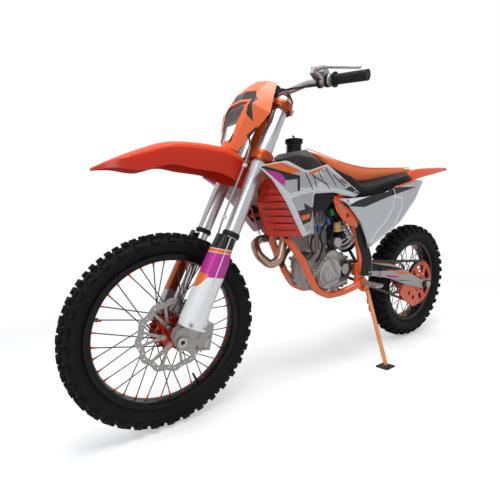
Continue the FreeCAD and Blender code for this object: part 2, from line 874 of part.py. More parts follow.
def hand_control():
    """Lever, its perch clamped on the bar, and the fluid reservoir."""
    end, inward = bar_end_line()
    perch_start = end + inward * (grip_length + joint_gap)
    perch = Part.makeCylinder(perch_radius, perch_length, perch_start, inward)
    ahead = fork_forward
    hinge = perch_start + inward * (perch_length / 2) + ahead * (perch_radius + lever_radius)
    arm = rod(perch_start + inward * (perch_length / 2), hinge + ahead * (lever_reach / 2), perch_radius / 2)
    knee = hinge + ahead * (lever_reach / 2)
    tip = knee - inward * lever_length - ahead * (lever_reach * 0.3)
    lever = pipe([knee, knee - inward * (lever_length * 0.3) + ahead * (lever_reach * 0.1), tip],
                 lever_radius, bar_bend)
    tank_base = perch_start + inward * perch_length * 0.2 + ahead * (perch_radius * 0.6)
    frame = FreeCAD.Placement(tank_base, FreeCAD.Rotation(inward, ahead, fork_up, "XYZ"))
    box = Part.makeBox(reservoir_length, reservoir_width, reservoir_height)
    box.Placement = frame
    whole = fused([perch, arm, lever, box])
    bore = Part.makeCylinder(bar_radius + running_gap, perch_length * 4,
                             perch_start - inward * cut_overrun, inward)
    return whole.cut(bore)


def cord(name, points, radius, run_count):
    """A cord along a smooth line, as even straight runs joined by the widest arcs they allow."""
    curve = Part.BSplineCurve()
    curve.interpolate(points)
    corners = curve.toShape().discretize(Number=run_count + 1)
    runs = [(after - before).Length for before, after in zip(corners, corners[1:])]
    path = bent_path(corners, wheelbase)
    arcs = [edge.Curve.Radius for edge in path.Edges if hasattr(edge.Curve, "Radius")]
    print(name, "longest run", round(max(runs), 1), "smallest arc radius", round(min(arcs), 1),
          "length", round(path.Length, 1))
    ring = Part.Wire(Part.Circle(corners[0], corners[1] - corners[0], radius).toShape())
    return path.makePipeShell([ring], True, False)


# Points of the brake hose below the right reservoir: height, forward and left shares of the fork.
hose_shares = [
    (1.062, 0.046, -0.185), (1.045, 0.056, -0.130), (1.008, 0.069, -0.085), (0.955, 0.069, -0.052),
    (0.890, 0.066, -0.018), (0.830, 0.065, 0.030),
    (0.770, 0.067, 0.078), (0.690, 0.066, 0.0865), (0.580, 0.066, 0.0865), (0.470, 0.064, 0.0850),
    (0.370, 0.052, 0.079),
    (0.270, 0.030, 0.077), (0.180, -0.004, 0.0765), (0.115, -0.032, 0.0775),
]
hose_end_shares = (0.0845, -0.0415, 0.0780)


def reservoir_port():
    """Where the hose leaves the inner end of the left reservoir."""
    end, inward = bar_end_line()
    start = end + inward * (grip_length + joint_gap + perch_length * 0.2 + reservoir_length + running_gap)
    return start + fork_forward * (perch_radius * 0.6 + reservoir_width / 2) + fork_up * (reservoir_height / 2)


def brake_hose():
    """From the right reservoir, behind the mask and down inside the left leg to the caliper."""
    port = reservoir_port()
    points = [Vector(port.x, -port.y, port.z)]
    points += [on_fork_share(up, ahead, left * fork_length) for up, ahead,
               left in hose_shares + [hose_end_shares]]
    return cord("brake_hose", points, hose_radius, hose_run_count)


cable_shares = [(1.034, 0.040, 0.150), (1.012, 0.060, 0.075), (1.004, 0.053, 0.045)]


def control_cable():
    """From the left control's perch to the side of the instrument."""
    end, inward = bar_end_line()
    start = end + inward * (grip_length + joint_gap + perch_length + running_gap * 4) - fork_up * (perch_radius * 0.8)
    points = [start, start + inward * (perch_radius * 1.6)]
    points += [on_fork_share(up, ahead, left * fork_length) for up, ahead, left in cable_shares]
    points.append(on_fork_share(1.003, 0.050, instrument_half + running_gap * 3))
    return cord("control_cables", points, cable_radius, cable_run_count)


def caliper(centre, disc_y, disc_radius, hand, turn_deg, outward):
    """A caliper astride the disc's edge: two halves joined beyond the rim of the disc."""
    gap = caliper_gap
    low = disc_y - caliper_inner - gap
    width = caliper_inner + outward + disc_thick + 2 * gap
    block = Part.makeBox(caliper_depth + disc_thick, width, caliper_length)
    block.translate(Vector(disc_radius - caliper_depth, low, -caliper_length / 2))
    slot = Part.makeCylinder(disc_radius + gap, disc_thick + 2 * gap, Vector(0, disc_y - gap, 0), side)
    shape = block.cut(slot)
    shape.rotate(Vector(0, 0, 0), side, turn_deg)
    shape.translate(centre)
    if hand < 0:
        shape = mirrored(shape)
    return shape


# Frame and what it carries
down_tube_shares = [(0.948, 1.080), (0.898, 0.953), (0.848, 0.640), (0.800, 0.455)]
cradle_shares = [(0.815, 0.500), (0.728, 0.320), (0.637, 0.160), (0.569, 0.018), (0.484, -0.120),
                 (0.352, -0.187), (0.199, -0.187), (0.090, -0.140), (0.030, -0.110)]
rail_shares = [(0.945, 1.110), (0.830, 0.930), (0.700, 0.850), (0.330, 0.677), (0.135, 0.491),
               (0.072, 0.345), (0.030, 0.182), (0.005, 0.000)]


def frame():
    """Welded frame: head tube, down tube, twin cradle, upper rails, pivot plates and cross tubes."""
    head = Part.makeCylinder(head_tube_radius, head_high - head_low, on_fork(head_low, 0), fork_up)
    down = pipe([on_trunk(a, b) for a, b in down_tube_shares], down_tube_radius, pipe_bend)
    cradle_spread = [0.0, 0.75] + [1.0] * (len(cradle_shares) - 4) + [1.30, 1.30]
    cradle_points = [on_trunk(a, b, cradle_y * spread) for (a, b),
                     spread in zip(cradle_shares, cradle_spread)]
    cradle = pipe(cradle_points, cradle_radius, pipe_bend)
    rail_spread = [0.12, 0.40, 0.80, 1, 1, 1, 1, 1]
    rail = pipe([on_trunk(a, b, rail_y * w) for (a, b), w in zip(rail_shares, rail_spread)], rail_radius,
                pipe_bend)
    plate_shares = [(-0.050, -0.130), (0.070, -0.150), (0.075, 0.090), (-0.045, 0.090)]
    plate = side_plate(plate_shares, on_trunk, pivot_plate_y - pivot_plate_thick / 2, pivot_plate_thick)
    pieces = [head, down] + both_sides(cradle) + both_sides(rail) + both_sides(plate)
    for a, b in (shock_top_shares, (0.560, 0.8105), (0.170, -0.187)):
        half = rail_y if b > 0 else cradle_y
        pieces.append(rod(on_trunk(a, b, -half), on_trunk(a, b, half), cross_tube_radius))
    pivot_pin = rod(pivot - side * pivot_plate_y, pivot + side * pivot_plate_y, cross_tube_radius)
    whole = fused(pieces + [pivot_pin])
    bore = Part.makeCylinder(stem_radius + running_gap, fork_length, on_fork(lower_clamp_low, 0), fork_up)
    bracket_shares = [(-0.107, -0.160), (-0.105, -0.210), (-0.050, -0.215), (0.040, -0.150),
                      (0.000, -0.080), (-0.040, -0.080)]
    bracket = side_plate(bracket_shares, on_trunk, stand_bracket_y, stand_bracket_thick)
    pin = rod(stand_top - side * (stand_boss_thick / 2 + stand_bracket_thick),
              stand_top + side * stand_boss_thick, stand_pin_radius)
    bosses = both_sides(panel_boss(0.297, 0.674, rail_y))
    return fused([whole.cut(bore), bracket, pin] + bosses)


def panel_boss(x, z, start_y):
    """A stand-off from a tube out to the side panel's inner face."""
    return side_boss(on_trunk(x, z, start_y), side_panel(right_panel_shares))


def subframe():
    upper = pipe([on_trunk(0.300, 0.712, subframe_y), on_trunk(-0.220, 0.790, subframe_y),
                  on_trunk(-0.400, 0.845, subframe_tail_y),
                  on_trunk(-0.660, 0.926, subframe_tail_y)], subframe_radius, subframe_bend)
    lower = rod(on_trunk(0.065, 0.415, subframe_y), on_trunk(-0.200, 0.787, subframe_y), subframe_radius)
    return fused([upper, lower] + [panel_boss(-0.138, 0.700, subframe_y)])




def arm_levels():
    """Swingarm stations: x, mid height, height and distance from the middle of the bike."""
    return [
        (pivot.x, pivot.z, arm_pivot_height, arm_pivot_y),
        (pivot.x * 0.76, pivot.z - arm_mid_rise * 0.4, arm_mid_height * 0.9, arm_pivot_y * 1.3),
        (pivot.x * 0.60, pivot.z - arm_mid_rise, arm_mid_height, arm_wheel_y),
        (pivot.x * 0.35, (pivot.z + rear_axle.z) / 2 - arm_mid_rise / 3, arm_mid_height, arm_wheel_y),
        (arm_end_length, rear_axle.z + arm_end_length * 0.1, arm_end_height, arm_wheel_y),
        (-arm_end_length, rear_axle.z, arm_end_height, arm_wheel_y),
    ]


def arm_low(x):
    """Height of the arm's lower face at x."""
    for (xa, za, ha, _), (xb, zb, hb, _) in zip(arm_levels(), arm_levels()[1:]):
        if xb <= x <= xa:
            front, back = za - ha / 2, zb - hb / 2
            return front + (back - front) * (xa - x) / (xa - xb)
    return rear_axle.z


def swingarm():
    """Two box arms from the pivot tube to the axle, braced ahead of the tyre."""
    sections = []
    for x, z, height, y in arm_levels():
        low, high = z - height / 2, z + height / 2
        inner, outer = y - arm_width / 2, y + arm_width / 2
        sections.append([Vector(x, inner, low), Vector(x, outer, low), Vector(x, outer, high),
                         Vector(x, inner, high)])
    arm = loft(sections, False)
    hub_tube = rod(pivot - side * swing_hub_half, pivot + side * swing_hub_half, swing_hub_radius)
    brace = Part.makeBox(arm_brace_width, 2 * arm_wheel_y, arm_brace_height)
    brace.translate(Vector(pivot.x * 0.66, -arm_wheel_y, pivot.z - arm_mid_rise - arm_brace_height / 2))
    shock_low = on_trunk(*shock_low_shares)
    shock_pin = rod(shock_low - side * arm_pivot_y, shock_low + side * arm_pivot_y, shock_pin_radius)
    whole = fused(both_sides(arm) + [hub_tube, brace, shock_pin])
    pivot_bore = rod(pivot - side * rail_y * 1.2, pivot + side * rail_y * 1.2,
                     cross_tube_radius + running_gap)
    axle_start = rear_axle - side * (arm_wheel_y + arm_width)
    axle_bore = rod(axle_start, rear_axle + side * (arm_wheel_y + arm_width), rear_axle_radius + running_gap)
    return whole.cut(pivot_bore).cut(axle_bore)


case_shares = [(0.085, -0.130), (0.135, -0.148), (0.470, -0.140), (0.525, -0.070), (0.555, 0.150),
               (0.458, 0.233), (0.242, 0.233), (0.150, 0.182), (0.085, 0.142)]
cylinder_shares = [(0.330, 0.233), (0.548, 0.233), (0.575, 0.466), (0.350, 0.466)]
head_shares = [(0.322, 0.466), (0.592, 0.466), (0.600, 0.645), (0.345, 0.645)]


def chamfered(shape, size):
    """Bevels the rims of a block's left and right faces."""
    rims = [edge for edge in shape.Edges if abs(edge.tangentAt(edge.FirstParameter).dot(side)) < math.sin(rake)]
    return shape.makeChamfer(size, rims)


def crankcase():
    return chamfered(side_plate(case_shares, on_trunk, -case_half, 2 * case_half), case_chamfer)


def cylinder():
    barrel = side_plate(cylinder_shares, on_trunk, -cylinder_half, 2 * cylinder_half)
    head = chamfered(side_plate(head_shares, on_trunk, -head_half, 2 * head_half), case_chamfer)
    return fused([barrel, head])


def bevelled_disc(centre, direction, radius, depth):
    """A round cover whose outer rim is bevelled."""
    straight = depth - cover_chamfer
    base = Part.makeCylinder(radius, straight, centre, direction)
    rim = Part.makeCone(radius, radius - cover_chamfer, cover_chamfer, centre + direction * straight,
                        direction)
    return fused([base, rim])


def engine_covers():
    """The ribbed ignition cover on the left and the stepped clutch cover on the right."""
    ignition = on_trunk(0.378, 0.030, case_half)
    pieces = [bevelled_disc(ignition, side, ignition_radius, ignition_depth),
              Part.makeCylinder(ignition_step_radius, ignition_depth + ignition_step_depth, ignition, side)]
    rib_length = ignition_radius - cover_chamfer
    for index in range(cover_rib_count):
        rib = Part.makeBox(rib_length, ignition_depth + cover_rib_height, cover_rib_width)
        rib.translate(Vector(0, 0, -cover_rib_width / 2))
        rib.rotate(Vector(0, 0, 0), side, 360 * index / cover_rib_count)
        rib.translate(ignition)
        pieces.append(rib)
    clutch = on_trunk(0.300, 0.040, -case_half)
    right = bevelled_disc(clutch, -side, clutch_radius, clutch_depth - clutch_cap_depth)
    cap = bevelled_disc(clutch, -side, clutch_cap_radius, clutch_depth)
    return Part.makeCompound([fused(pieces), fused([right, cap])])


header_shares = [
    (0.612, 0.540, 0), (0.680, 0.530, 0), (0.720, 0.330, 0.10), (0.760, 0.180, 0.14), (0.830, 0.125, 0),
    (0.900, 0.210, -0.30), (0.890, 0.300, -0.70), (0.780, 0.330, -1.16), (0.600, 0.340, -1.20),
    (0.400, 0.385, -1.20), (0.120, 0.450, -1.36),
    (-0.130, 0.500, -1.45), (-0.200, 0.515, -1.50),
]


def header_pipe():
    """Exhaust header: out of the head, looped ahead of the cradle, then back along the right side."""
    return pipe([on_trunk(a, b, w * rail_y) for a, b, w in header_shares], header_radius, header_bend)


def silencer():
    x, z, y = header_shares[-1]
    front = on_trunk(x, z, y * rail_y)
    end = on_trunk(-1.100, 0.700, y * rail_y)
    axis = (end - front).normalize()
    nose_end = front + axis * (silencer_nose + header_radius / 9)
    nose = Part.makeCone(header_radius, silencer_radius, silencer_nose,
                         front + axis * (header_radius / 9), axis)
    body = rod(nose_end, end, silencer_radius)
    tail = rod(end, end + axis * silencer_radius, silencer_radius / 2)
    return fused([body, nose, tail])


# Each section is (x share, bottom z share, top z share, half width share, shoulder share).
tank_section_shares = [(0.800, 0.965, 1.010, 0.55, 0.9), (0.700, 0.905, 1.075, 0.90, 0.8),
                       (0.560, 0.840, 1.105, 1.00, 0.7), (0.420, 0.780, 1.050, 0.80, 0.7),
                       (0.320, 0.745, 0.985, 0.70, 0.7)]


def tank_body(grow):
    sections = []
    rise = grow / (trunk_head.z - pivot.z)
    for x, low, high, width, shoulder in tank_section_shares:
        half = width * tank_half_width + grow
        low, high = low - rise, high + rise
        middle = low + (high - low) * shoulder
        sections.append([on_trunk(x, low, -half * 0.7), on_trunk(x, middle, -half),
                         on_trunk(x, high, -half * 0.5),
                         on_trunk(x, high, half * 0.5), on_trunk(x, middle, half),
                         on_trunk(x, low, half * 0.7)])
    return loft(sections, False)


def fuel_tank():
    body = tank_body(0)
    neck_base = on_trunk(0.608, 1.070)
    neck = Part.makeCylinder(tank_neck_radius, tank_neck_height, neck_base, upright)
    cap = Part.makeCylinder(cap_radius, cap_height, neck_base + upright * tank_neck_height, upright)
    return fused([body, neck, cap])


seat_top_shares = [(0.551, 1.123), (0.422, 1.095), (0.242, 1.050), (0.066, 1.020), (-0.144, 1.008),
                   (-0.371, 1.018), (-0.655, 1.038), (-0.841, 1.054)]
seat_low_shares = [(0.560, 1.108), (0.450, 1.062), (0.280, 0.930), (0.095, 0.862), (-0.060, 0.860),
                   (-0.260, 0.890), (-0.560, 0.9312), (-0.836, 1.0126)]
seat_width_shares = [0.45, 0.62, 0.86, 1.0, 1.0, 0.98, 0.86, 0.62]
seat_round_shares = [(1.0, -1.0), (0.30, -0.96), (0.06, -0.62), (0.0, 0.0), (0.06, 0.62), (0.30, 0.96),
                     (1.0, 1.0)]


def seat():
    sections = []
    for (xa, za), (xb, zb), width in zip(seat_top_shares, seat_low_shares, seat_width_shares):
        points = []
        for down, wide in seat_round_shares:
            points.append(on_trunk(xa + (xb - xa) * down, za + (zb - za) * down,
                                   seat_half_width * width * wide))
        sections.append(points)
    return loft(sections).cut(tank_body(running_gap * 2)).cut(tail_trough(-running_gap, running_gap))


side_panel_shares = [(-0.718, 0.884), (-0.623, 0.697), (-0.422, 0.474), (-0.224, 0.343), (-0.016, 0.227),
                     (0.032, 0.343), (0.106, 0.479), (0.285, 0.649),
                     (0.384, 0.693), (0.242, 0.693), (0.063, 0.708), (-0.192, 0.756), (-0.310, 0.813),
                     (-0.583, 0.886)]
shroud_shares = [(1.211, 0.888), (1.130, 0.910), (0.987, 0.943), (0.816, 0.890), (0.754, 0.896),
                 (0.565, 0.957), (0.108, 0.746), (0.170, 0.702),
                 (0.458, 0.740), (0.691, 0.724), (0.700, 0.412), (0.780, 0.391), (0.969, 0.659),
                 (1.100, 0.809)]


def curved_panel(outline, plan, wall, flare, level_share):
    """A thin panel: plan gives (x share, y) along its length, outline its shape from the side."""
    reach = trunk_head - pivot
    low = min(share for _, share in outline) - 0.2
    high = max(share for _, share in outline) + 0.2
    rise = (high - low) * reach.z
    outer = [on_trunk(a, low, y - flare * (level_share - low) * reach.z) for a, y in plan]
    spline = Part.BSplineCurve()
    spline.interpolate(outer)
    inner_spline = Part.BSplineCurve()
    inner_spline.interpolate([point - side * wall for point in outer])
    ends = [Part.LineSegment(outer[-1], outer[-1] - side * wall).toShape(),
            Part.LineSegment(outer[0] - side * wall, outer[0]).toShape()]
    ring = Part.Wire(Part.__sortEdges__([spline.toShape(), ends[0], inner_spline.toShape(), ends[1]]))
    sheet = Part.Face(ring).extrude(Vector(0, flare * rise, rise))
    widest = max(y for _, y in plan) * 2
    return sheet.common(side_plate(outline, on_trunk, 0, widest))


def shroud():
    plan = [(0.05, shroud_rear_y - shroud_bow), (0.25, shroud_rear_y + shroud_bow),
            (0.60, shroud_mid_y * 0.86), (0.85, shroud_mid_y), (1.25, shroud_front_y)]
    return curved_panel(shroud_shares, plan, shroud_wall, shroud_flare, shroud_level_share)


right_panel_shares = [(-0.718, 0.884), (-0.680, 0.830), (-0.450, 0.750), (-0.200, 0.690), (0.020, 0.600),
                      (0.110, 0.580), (0.285, 0.649),
                      (0.384, 0.693), (0.242, 0.693), (0.063, 0.708), (-0.192, 0.756), (-0.310, 0.813),
                      (-0.583, 0.886)]


def side_panel(outline):
    plan = [(-0.80, side_panel_rear_y), (-0.40, side_panel_rear_y * 1.02),
            (0.00, side_panel_front_y + side_panel_bow), (0.42, side_panel_front_y)]
    return curved_panel(outline, plan, side_panel_wall, side_panel_flare, side_panel_level_share)


rear_fender_section_shares = [(-0.480, 0.840, 0.915, 0.97), (-0.640, 0.860, 0.945, 1.00),
                              (-0.860, 0.925, 1.020, 1.00), (-1.230, 1.000, 1.062, 0.80),
                              (-1.530, 1.060, 1.085, 0.58)]


def tail_trough(inset, rise):
    """The tail's solid outline, taken in by inset at its sides and raised by rise."""
    sections = []
    for x, low, high, width in rear_fender_section_shares:
        half = fender_rear_half * width - inset
        top = on_trunk(x, high) + upright * rise
        base = on_trunk(x, low)
        shoulder = half * 0.8
        sections.append([Vector(base.x, -half, base.z), Vector(top.x, -shoulder, top.z),
                         Vector(top.x, shoulder, top.z), Vector(base.x, half, base.z)])
    return loft(sections, False)


def rear_fender():
    """The tail: an upside-down trough over the wheel, narrowing to its tip."""
    return tail_trough(0, 0).cut(tail_trough(fender_wall, -fender_wall))


def rear_fender_height(x):
    """Height share of the tail's top at x, by straight runs between its sections."""
    for (xa, _, za, _), (xb, _, zb, _) in zip(rear_fender_section_shares, rear_fender_section_shares[1:]):
        if xb <= x <= xa:
            return za + (zb - za) * (xa - x) / (xa - xb)
    return rear_fender_section_shares[-1][2]


def tail_lamp():
    front_share = tail_lamp_share + tail_lamp_length / (trunk_head.x - pivot.x)
    height = min(rear_fender_height(tail_lamp_share), rear_fender_height(front_share))
    under = on_trunk(tail_lamp_share, height, -tail_lamp_half)
    return Part.makeBox(tail_lamp_length, 2 * tail_lamp_half, tail_lamp_height,
                        under - upright * (tail_lamp_height + fender_wall + running_gap))


airbox_shares = [(-0.380, 0.765), (0.170, 0.755), (0.170, 0.700), (-0.030, 0.560), (-0.150, 0.520),
                 (-0.370, 0.600)]


def air_box():
    return side_plate(airbox_shares, on_trunk, -airbox_half, 2 * airbox_half)


radiator_shares = [(0.855, 0.410), (0.9012, 0.820)]


shroud_boss_shares = (0.725, 0.720)


def radiator():
    sweep = guard_sweep / (trunk_head.x - pivot.x)
    thick = radiator_thick / (trunk_head.x - pivot.x)
    sections = []
    for x, z in radiator_shares:
        sections.append([on_trunk(x, z, radiator_in_y), on_trunk(x - sweep, z, radiator_out_y),
                         on_trunk(x - sweep - thick, z, radiator_out_y),
                         on_trunk(x - thick, z, radiator_in_y)])
    core = loft(sections, False)
    x, z = shroud_boss_shares
    return fused([core, side_boss(on_trunk(x, z, radiator_out_y - boss_radius), shroud())])


radiator_guard_shares = [(0.925, 0.835), (0.990, 0.659), (0.899, 0.388)]


def radiator_guard():
    sections = []
    sweep = guard_sweep / (trunk_head.x - pivot.x)
    wall = guard_plate_wall / (trunk_head.x - pivot.x)
    for x, z in radiator_guard_shares:
        sections.append([on_trunk(x, z, down_tube_radius + guard_plate_gap),
                         on_trunk(x - sweep, z, radiator_out_y),
                         on_trunk(x - sweep - wall, z, radiator_out_y),
                         on_trunk(x - wall, z, down_tube_radius + guard_plate_gap)])
    plate = loft(sections, False)
    high = on_trunk(*radiator_guard_shares[0])
    low = on_trunk(*radiator_guard_shares[-1])
    spacing = (high.z - low.z) / (louvre_count + 1)
    for index in range(louvre_count):
        level = low.z + spacing * (index + 1) - louvre_height / 2
        slot = Part.makeBox(wheelbase / 2, louvre_out_y - louvre_in_y, louvre_height)
        slot.translate(Vector(low.x - wheelbase / 4, louvre_in_y, level))
        plate = plate.cut(slot)
    return plate


frame_guard_shares = [(0.100, 0.450), (0.057, 0.341), (0.040, 0.193), (0.057, 0.073), (0.020, -0.043),
                      (-0.055, -0.055), (-0.060, 0.120), (0.000, 0.373), (0.045, 0.485)]


def frame_guard():
    return side_plate(frame_guard_shares, on_trunk, rail_y + rail_radius + running_gap, frame_guard_thick)


def shock_line():
    top = on_trunk(*shock_top_shares)
    low = on_trunk(*shock_low_shares)
    reach = low - top
    return top, low, Vector(reach).normalize(), reach.Length


def spring_run():
    """Where the spring's wire starts below the shock's top eye, and how long it is."""
    return spring_wire * 6, spring_wire * 2 * spring_turns * 1.9


def shock():
    top, low, axis, length = shock_line()
    body = Part.makeCylinder(shock_body_radius, length * 0.55, top, axis)
    shaft = Part.makeCylinder(shock_rod_radius, length, top, axis)
    eyes = []
    spring_start, spring_length = spring_run()
    above = top + axis * (spring_start - spring_wire - running_gap - spring_seat_thick)
    below = top + axis * (spring_start + spring_length + spring_wire + running_gap)
    seats = [Part.makeCylinder(spring_radius, spring_seat_thick, base, axis) for base in (above, below)]
    for centre, hole in ((top, cross_tube_radius), (low, shock_pin_radius)):
        half = side * shock_eye_half
        eyes.append((rod(centre - half, centre + half, hole + shock_eye_wall),
                     rod(centre - half * 2, centre + half * 2, hole + running_gap)))
    whole = fused([body, shaft] + seats + [ring for ring, _ in eyes])
    for _, hole in eyes:
        whole = whole.cut(hole)
    return whole


def shock_spring():
    top, _, axis, _ = shock_line()
    begin, length = spring_run()
    start = top + axis * begin
    pitch = length / spring_turns
    helix = Part.makeHelix(pitch, length, spring_radius)
    ring = Part.Wire(Part.Circle(Vector(spring_radius, 0, 0), Vector(0, 1, 0), spring_wire).toShape())
    coil = Part.Wire(helix.Edges).makePipeShell([ring], True, True)
    coil.Placement = FreeCAD.Placement(start, FreeCAD.Rotation(upright, axis))
    return coil


def footpeg():
    base = on_trunk(0.000, -0.120, peg_in_y)
    tread = Part.makeBox(2 * peg_half_width, peg_length, peg_thick, base - Vector(peg_half_width, 0, 0))
    return tread


def gear_lever():
    start = on_trunk(0.230, -0.040, case_half + running_gap)
    out = on_trunk(0.230, -0.040, peg_in_y + foot_lever_radius * 2)
    toe = on_trunk(0.440, -0.080, peg_in_y + foot_lever_radius * 2)
    tip = on_trunk(0.440, -0.080, peg_in_y + foot_lever_radius * 8)
    return pipe([start, out, toe, tip], foot_lever_radius, foot_lever_radius * 3)


def brake_pedal():
    start = on_trunk(0.050, -0.050, -pivot_plate_y - pivot_plate_thick / 2 - running_gap)
    out = on_trunk(0.050, -0.050, -peg_in_y - foot_lever_radius * 7)
    toe = on_trunk(0.460, -0.070, -peg_in_y - foot_lever_radius * 7)
    tip = on_trunk(0.460, -0.070, -peg_in_y - foot_lever_radius)
    return pipe([start, out, toe, tip], foot_lever_radius, foot_lever_radius * 3)


chain_guide_shares = [(-0.700, -0.240), (-0.780, -0.265), (-0.960, -0.385), (-0.970, -0.520),
                      (-0.860, -0.530), (-0.700, -0.420), (-0.620, -0.330)]


def chain_guide():
    """Block under the swingarm that steers the chain onto the sprocket."""
    low = chain_y + chain_half_width + 2 * running_gap
    points = [on_trunk(a, b, low) for a, b in chain_guide_shares]
    for point in points[:2]:
        point.z = arm_low(point.x) - running_gap
    return Part.Face(polygon(points)).extrude(side * chain_guide_thick)


def ground_height(y):
    """Height of the ground beside the upright bike, once the bike leans to the left."""
    lean = math.radians(lean_deg)
    flat = math.cos(math.pi / tyre_sides)
    drops = []
    for a, b in tip_shares:
        reach = flat * (rear_seat_radius + (rear_radius - rear_seat_radius) * b)
        drops.append(rear_half_width * a * math.sin(lean) - (rear_radius - reach) * math.cos(lean))
    return y * math.tan(lean) - max(drops) / math.cos(lean)


def side_stand():
    """Leg from its pivot boss to a flat foot on the ground."""
    foot_centre = Vector(stand_foot_x, stand_foot_y, ground_height(stand_foot_y))
    leg_end = foot_centre + upright * (stand_foot_thick + stand_radius)
    boss = rod(stand_top - side * (stand_boss_thick / 2), stand_top + side * (stand_boss_thick / 2),
               stand_boss_radius)
    leg = rod(stand_top + side * (stand_radius - stand_boss_thick / 3), leg_end, stand_radius)
    foot = Part.makeBox(2 * stand_foot_half, 2 * stand_foot_half, stand_foot_thick)
    foot.translate(Vector(-stand_foot_half, -stand_foot_half, 0))
    foot.rotate(Vector(0, 0, 0), Vector(1, 0, 0), lean_deg)
    foot.translate(foot_centre)
    post = rod(leg_end, foot_centre + upright * (stand_foot_thick / 2), stand_radius)
    bore = rod(stand_top - side * stand_boss_thick * 2, stand_top + side * stand_boss_thick * 2,
               stand_pin_radius + running_gap)
    return fused([boss, leg, foot, post]).cut(bore)


def build():
    """Every named piece of the upright bike."""
    front_bore = front_axle_radius + running_gap
    rear_bore = rear_axle_radius + running_gap
    made = {
        "front_tyre": tyre(front_axle, front_radius, front_seat_radius, front_half_width, front_rim_half,
                           front_flange_radius),
        "front_rim": rim(front_axle, front_rim_half, front_flange_radius, front_seat_radius, front_rim_inner),
        "front_spokes": spokes(front_axle, front_spoke_flange, front_spoke_flange_y, front_flange_thick,
                               front_rim_inner),
        "front_hub": hub(front_axle, front_hub_half, front_hub_end_radius, front_spool_radius,
                         front_spoke_flange,
                         front_spoke_flange_y, front_flange_thick, front_bore, front_disc_y, front_disc_y),
        "front_disc": brake_disc(front_axle, front_disc_y, front_disc_radius, front_disc_inner,
                                 front_hub_end_radius + running_gap, 1),
        "rear_tyre": tyre(rear_axle, rear_radius, rear_seat_radius, rear_half_width, rear_rim_half,
                          rear_flange_radius),
        "rear_rim": rim(rear_axle, rear_rim_half, rear_flange_radius, rear_seat_radius, rear_rim_inner),
        "rear_spokes": spokes(rear_axle, rear_spoke_flange, rear_spoke_flange_y, rear_flange_thick,
                              rear_rim_inner),
        "rear_hub": hub(rear_axle, chain_y + sprocket_thick, rear_hub_end_radius, rear_spool_radius,
                        rear_spoke_flange,
                        rear_spoke_flange_y, rear_flange_thick, rear_bore, chain_y - sprocket_thick / 2,
                        rear_disc_y),
        "rear_disc": brake_disc(rear_axle, -rear_disc_y, rear_disc_radius, rear_disc_inner,
                                rear_hub_end_radius + running_gap, -1),
        "rear_sprocket": rear_sprocket(),
        "chain": chain(),
        "drive_sprocket": drive_sprocket(),
        "fork_tubes": Part.makeCompound(both_sides(fork_tube())),
        "fork_legs": Part.makeCompound([fork_leg(True), mirrored(fork_leg(False))]),
        "fork_guards": Part.makeCompound(both_sides(fork_guard())),
        "triple_clamps": triple_clamps(),
        "front_axle": axle_shaft(front_axle, front_axle_radius, front_axle_half),
        "front_fender": front_fender(),
        "lamp_mask": lamp_mask(),
        "headlamp": headlamp(),
        "handlebar": handlebar(),
        "grips": Part.makeCompound(both_sides(grip())),
        "bar_mount": bar_mount(),
        "bar_pad": bar_pad(),
        "instrument": instrument(),
        "hand_controls": Part.makeCompound(both_sides(hand_control())),
        "brake_hose": brake_hose(),
        "control_cables": Part.makeCompound(both_sides(control_cable())),
        "front_caliper": caliper(front_axle, front_disc_y, front_disc_radius, 1, caliper_turn_deg,
                                 caliper_outer),
        "frame": frame(),
        "subframe": Part.makeCompound(both_sides(subframe())),
        "swingarm": swingarm(),
        "rear_axle": axle_shaft(rear_axle, rear_axle_radius, rear_axle_half),
        "crankcase": crankcase(),
        "cylinder": cylinder(),
        "engine_covers": engine_covers(),
        "exhaust_header": header_pipe(),
        "silencer": silencer(),
        "fuel_tank": fuel_tank(),
        "seat": seat(),
        "left_shroud": shroud(),
        "right_shroud": mirrored(shroud()),
        "left_side_panel": side_panel(side_panel_shares),
        "right_side_panel": mirrored(side_panel(right_panel_shares)),
        "rear_fender": rear_fender(),
        "tail_lamp": tail_lamp(),
        "air_box": air_box(),
        "radiators": Part.makeCompound(both_sides(radiator())),
        "radiator_guards": Part.makeCompound(both_sides(radiator_guard())),
        "frame_guards": Part.makeCompound(both_sides(frame_guard())),
        "rear_shock": shock(),
        "shock_spring": shock_spring(),
        "footpegs": Part.makeCompound(both_sides(footpeg())),
        "foot_levers": Part.makeCompound([gear_lever(), brake_pedal()]),
        "chain_guide": chain_guide(),
        "rear_caliper": caliper(rear_axle, rear_disc_y, rear_disc_radius, -1, rear_caliper_turn_deg,
                                rear_caliper_outer),
        "side_stand": side_stand(),
    }
    return made


def parked_placement(shapes):
    """Leans the bike, then puts the origin under the middle of its bounding box."""
    lean = FreeCAD.Rotation(Vector(1, 0, 0), -lean_deg)
    box = FreeCAD.BoundBox()
    for shape in shapes:
        copy = shape.copy()
        copy.Placement = FreeCAD.Placement(Vector(0, 0, 0), lean).multiply(copy.Placement)
        box.add(copy.optimalBoundingBox(False))
    return FreeCAD.Placement(Vector(-box.Center.x, -box.Center.y, -box.ZMin), lean)


def export(made, placement):
    os.makedirs("parts", exist_ok=True)
    for name, shape in made.items():
        shape.Placement = placement.multiply(shape.Placement)
        shape.exportStep("parts/" + name + ".step")


pieces = build()
parked = parked_placement(pieces.values())
export(pieces, parked)
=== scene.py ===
import json
import math

import bmesh
import bpy
from mathutils import Matrix, Vector, geometry


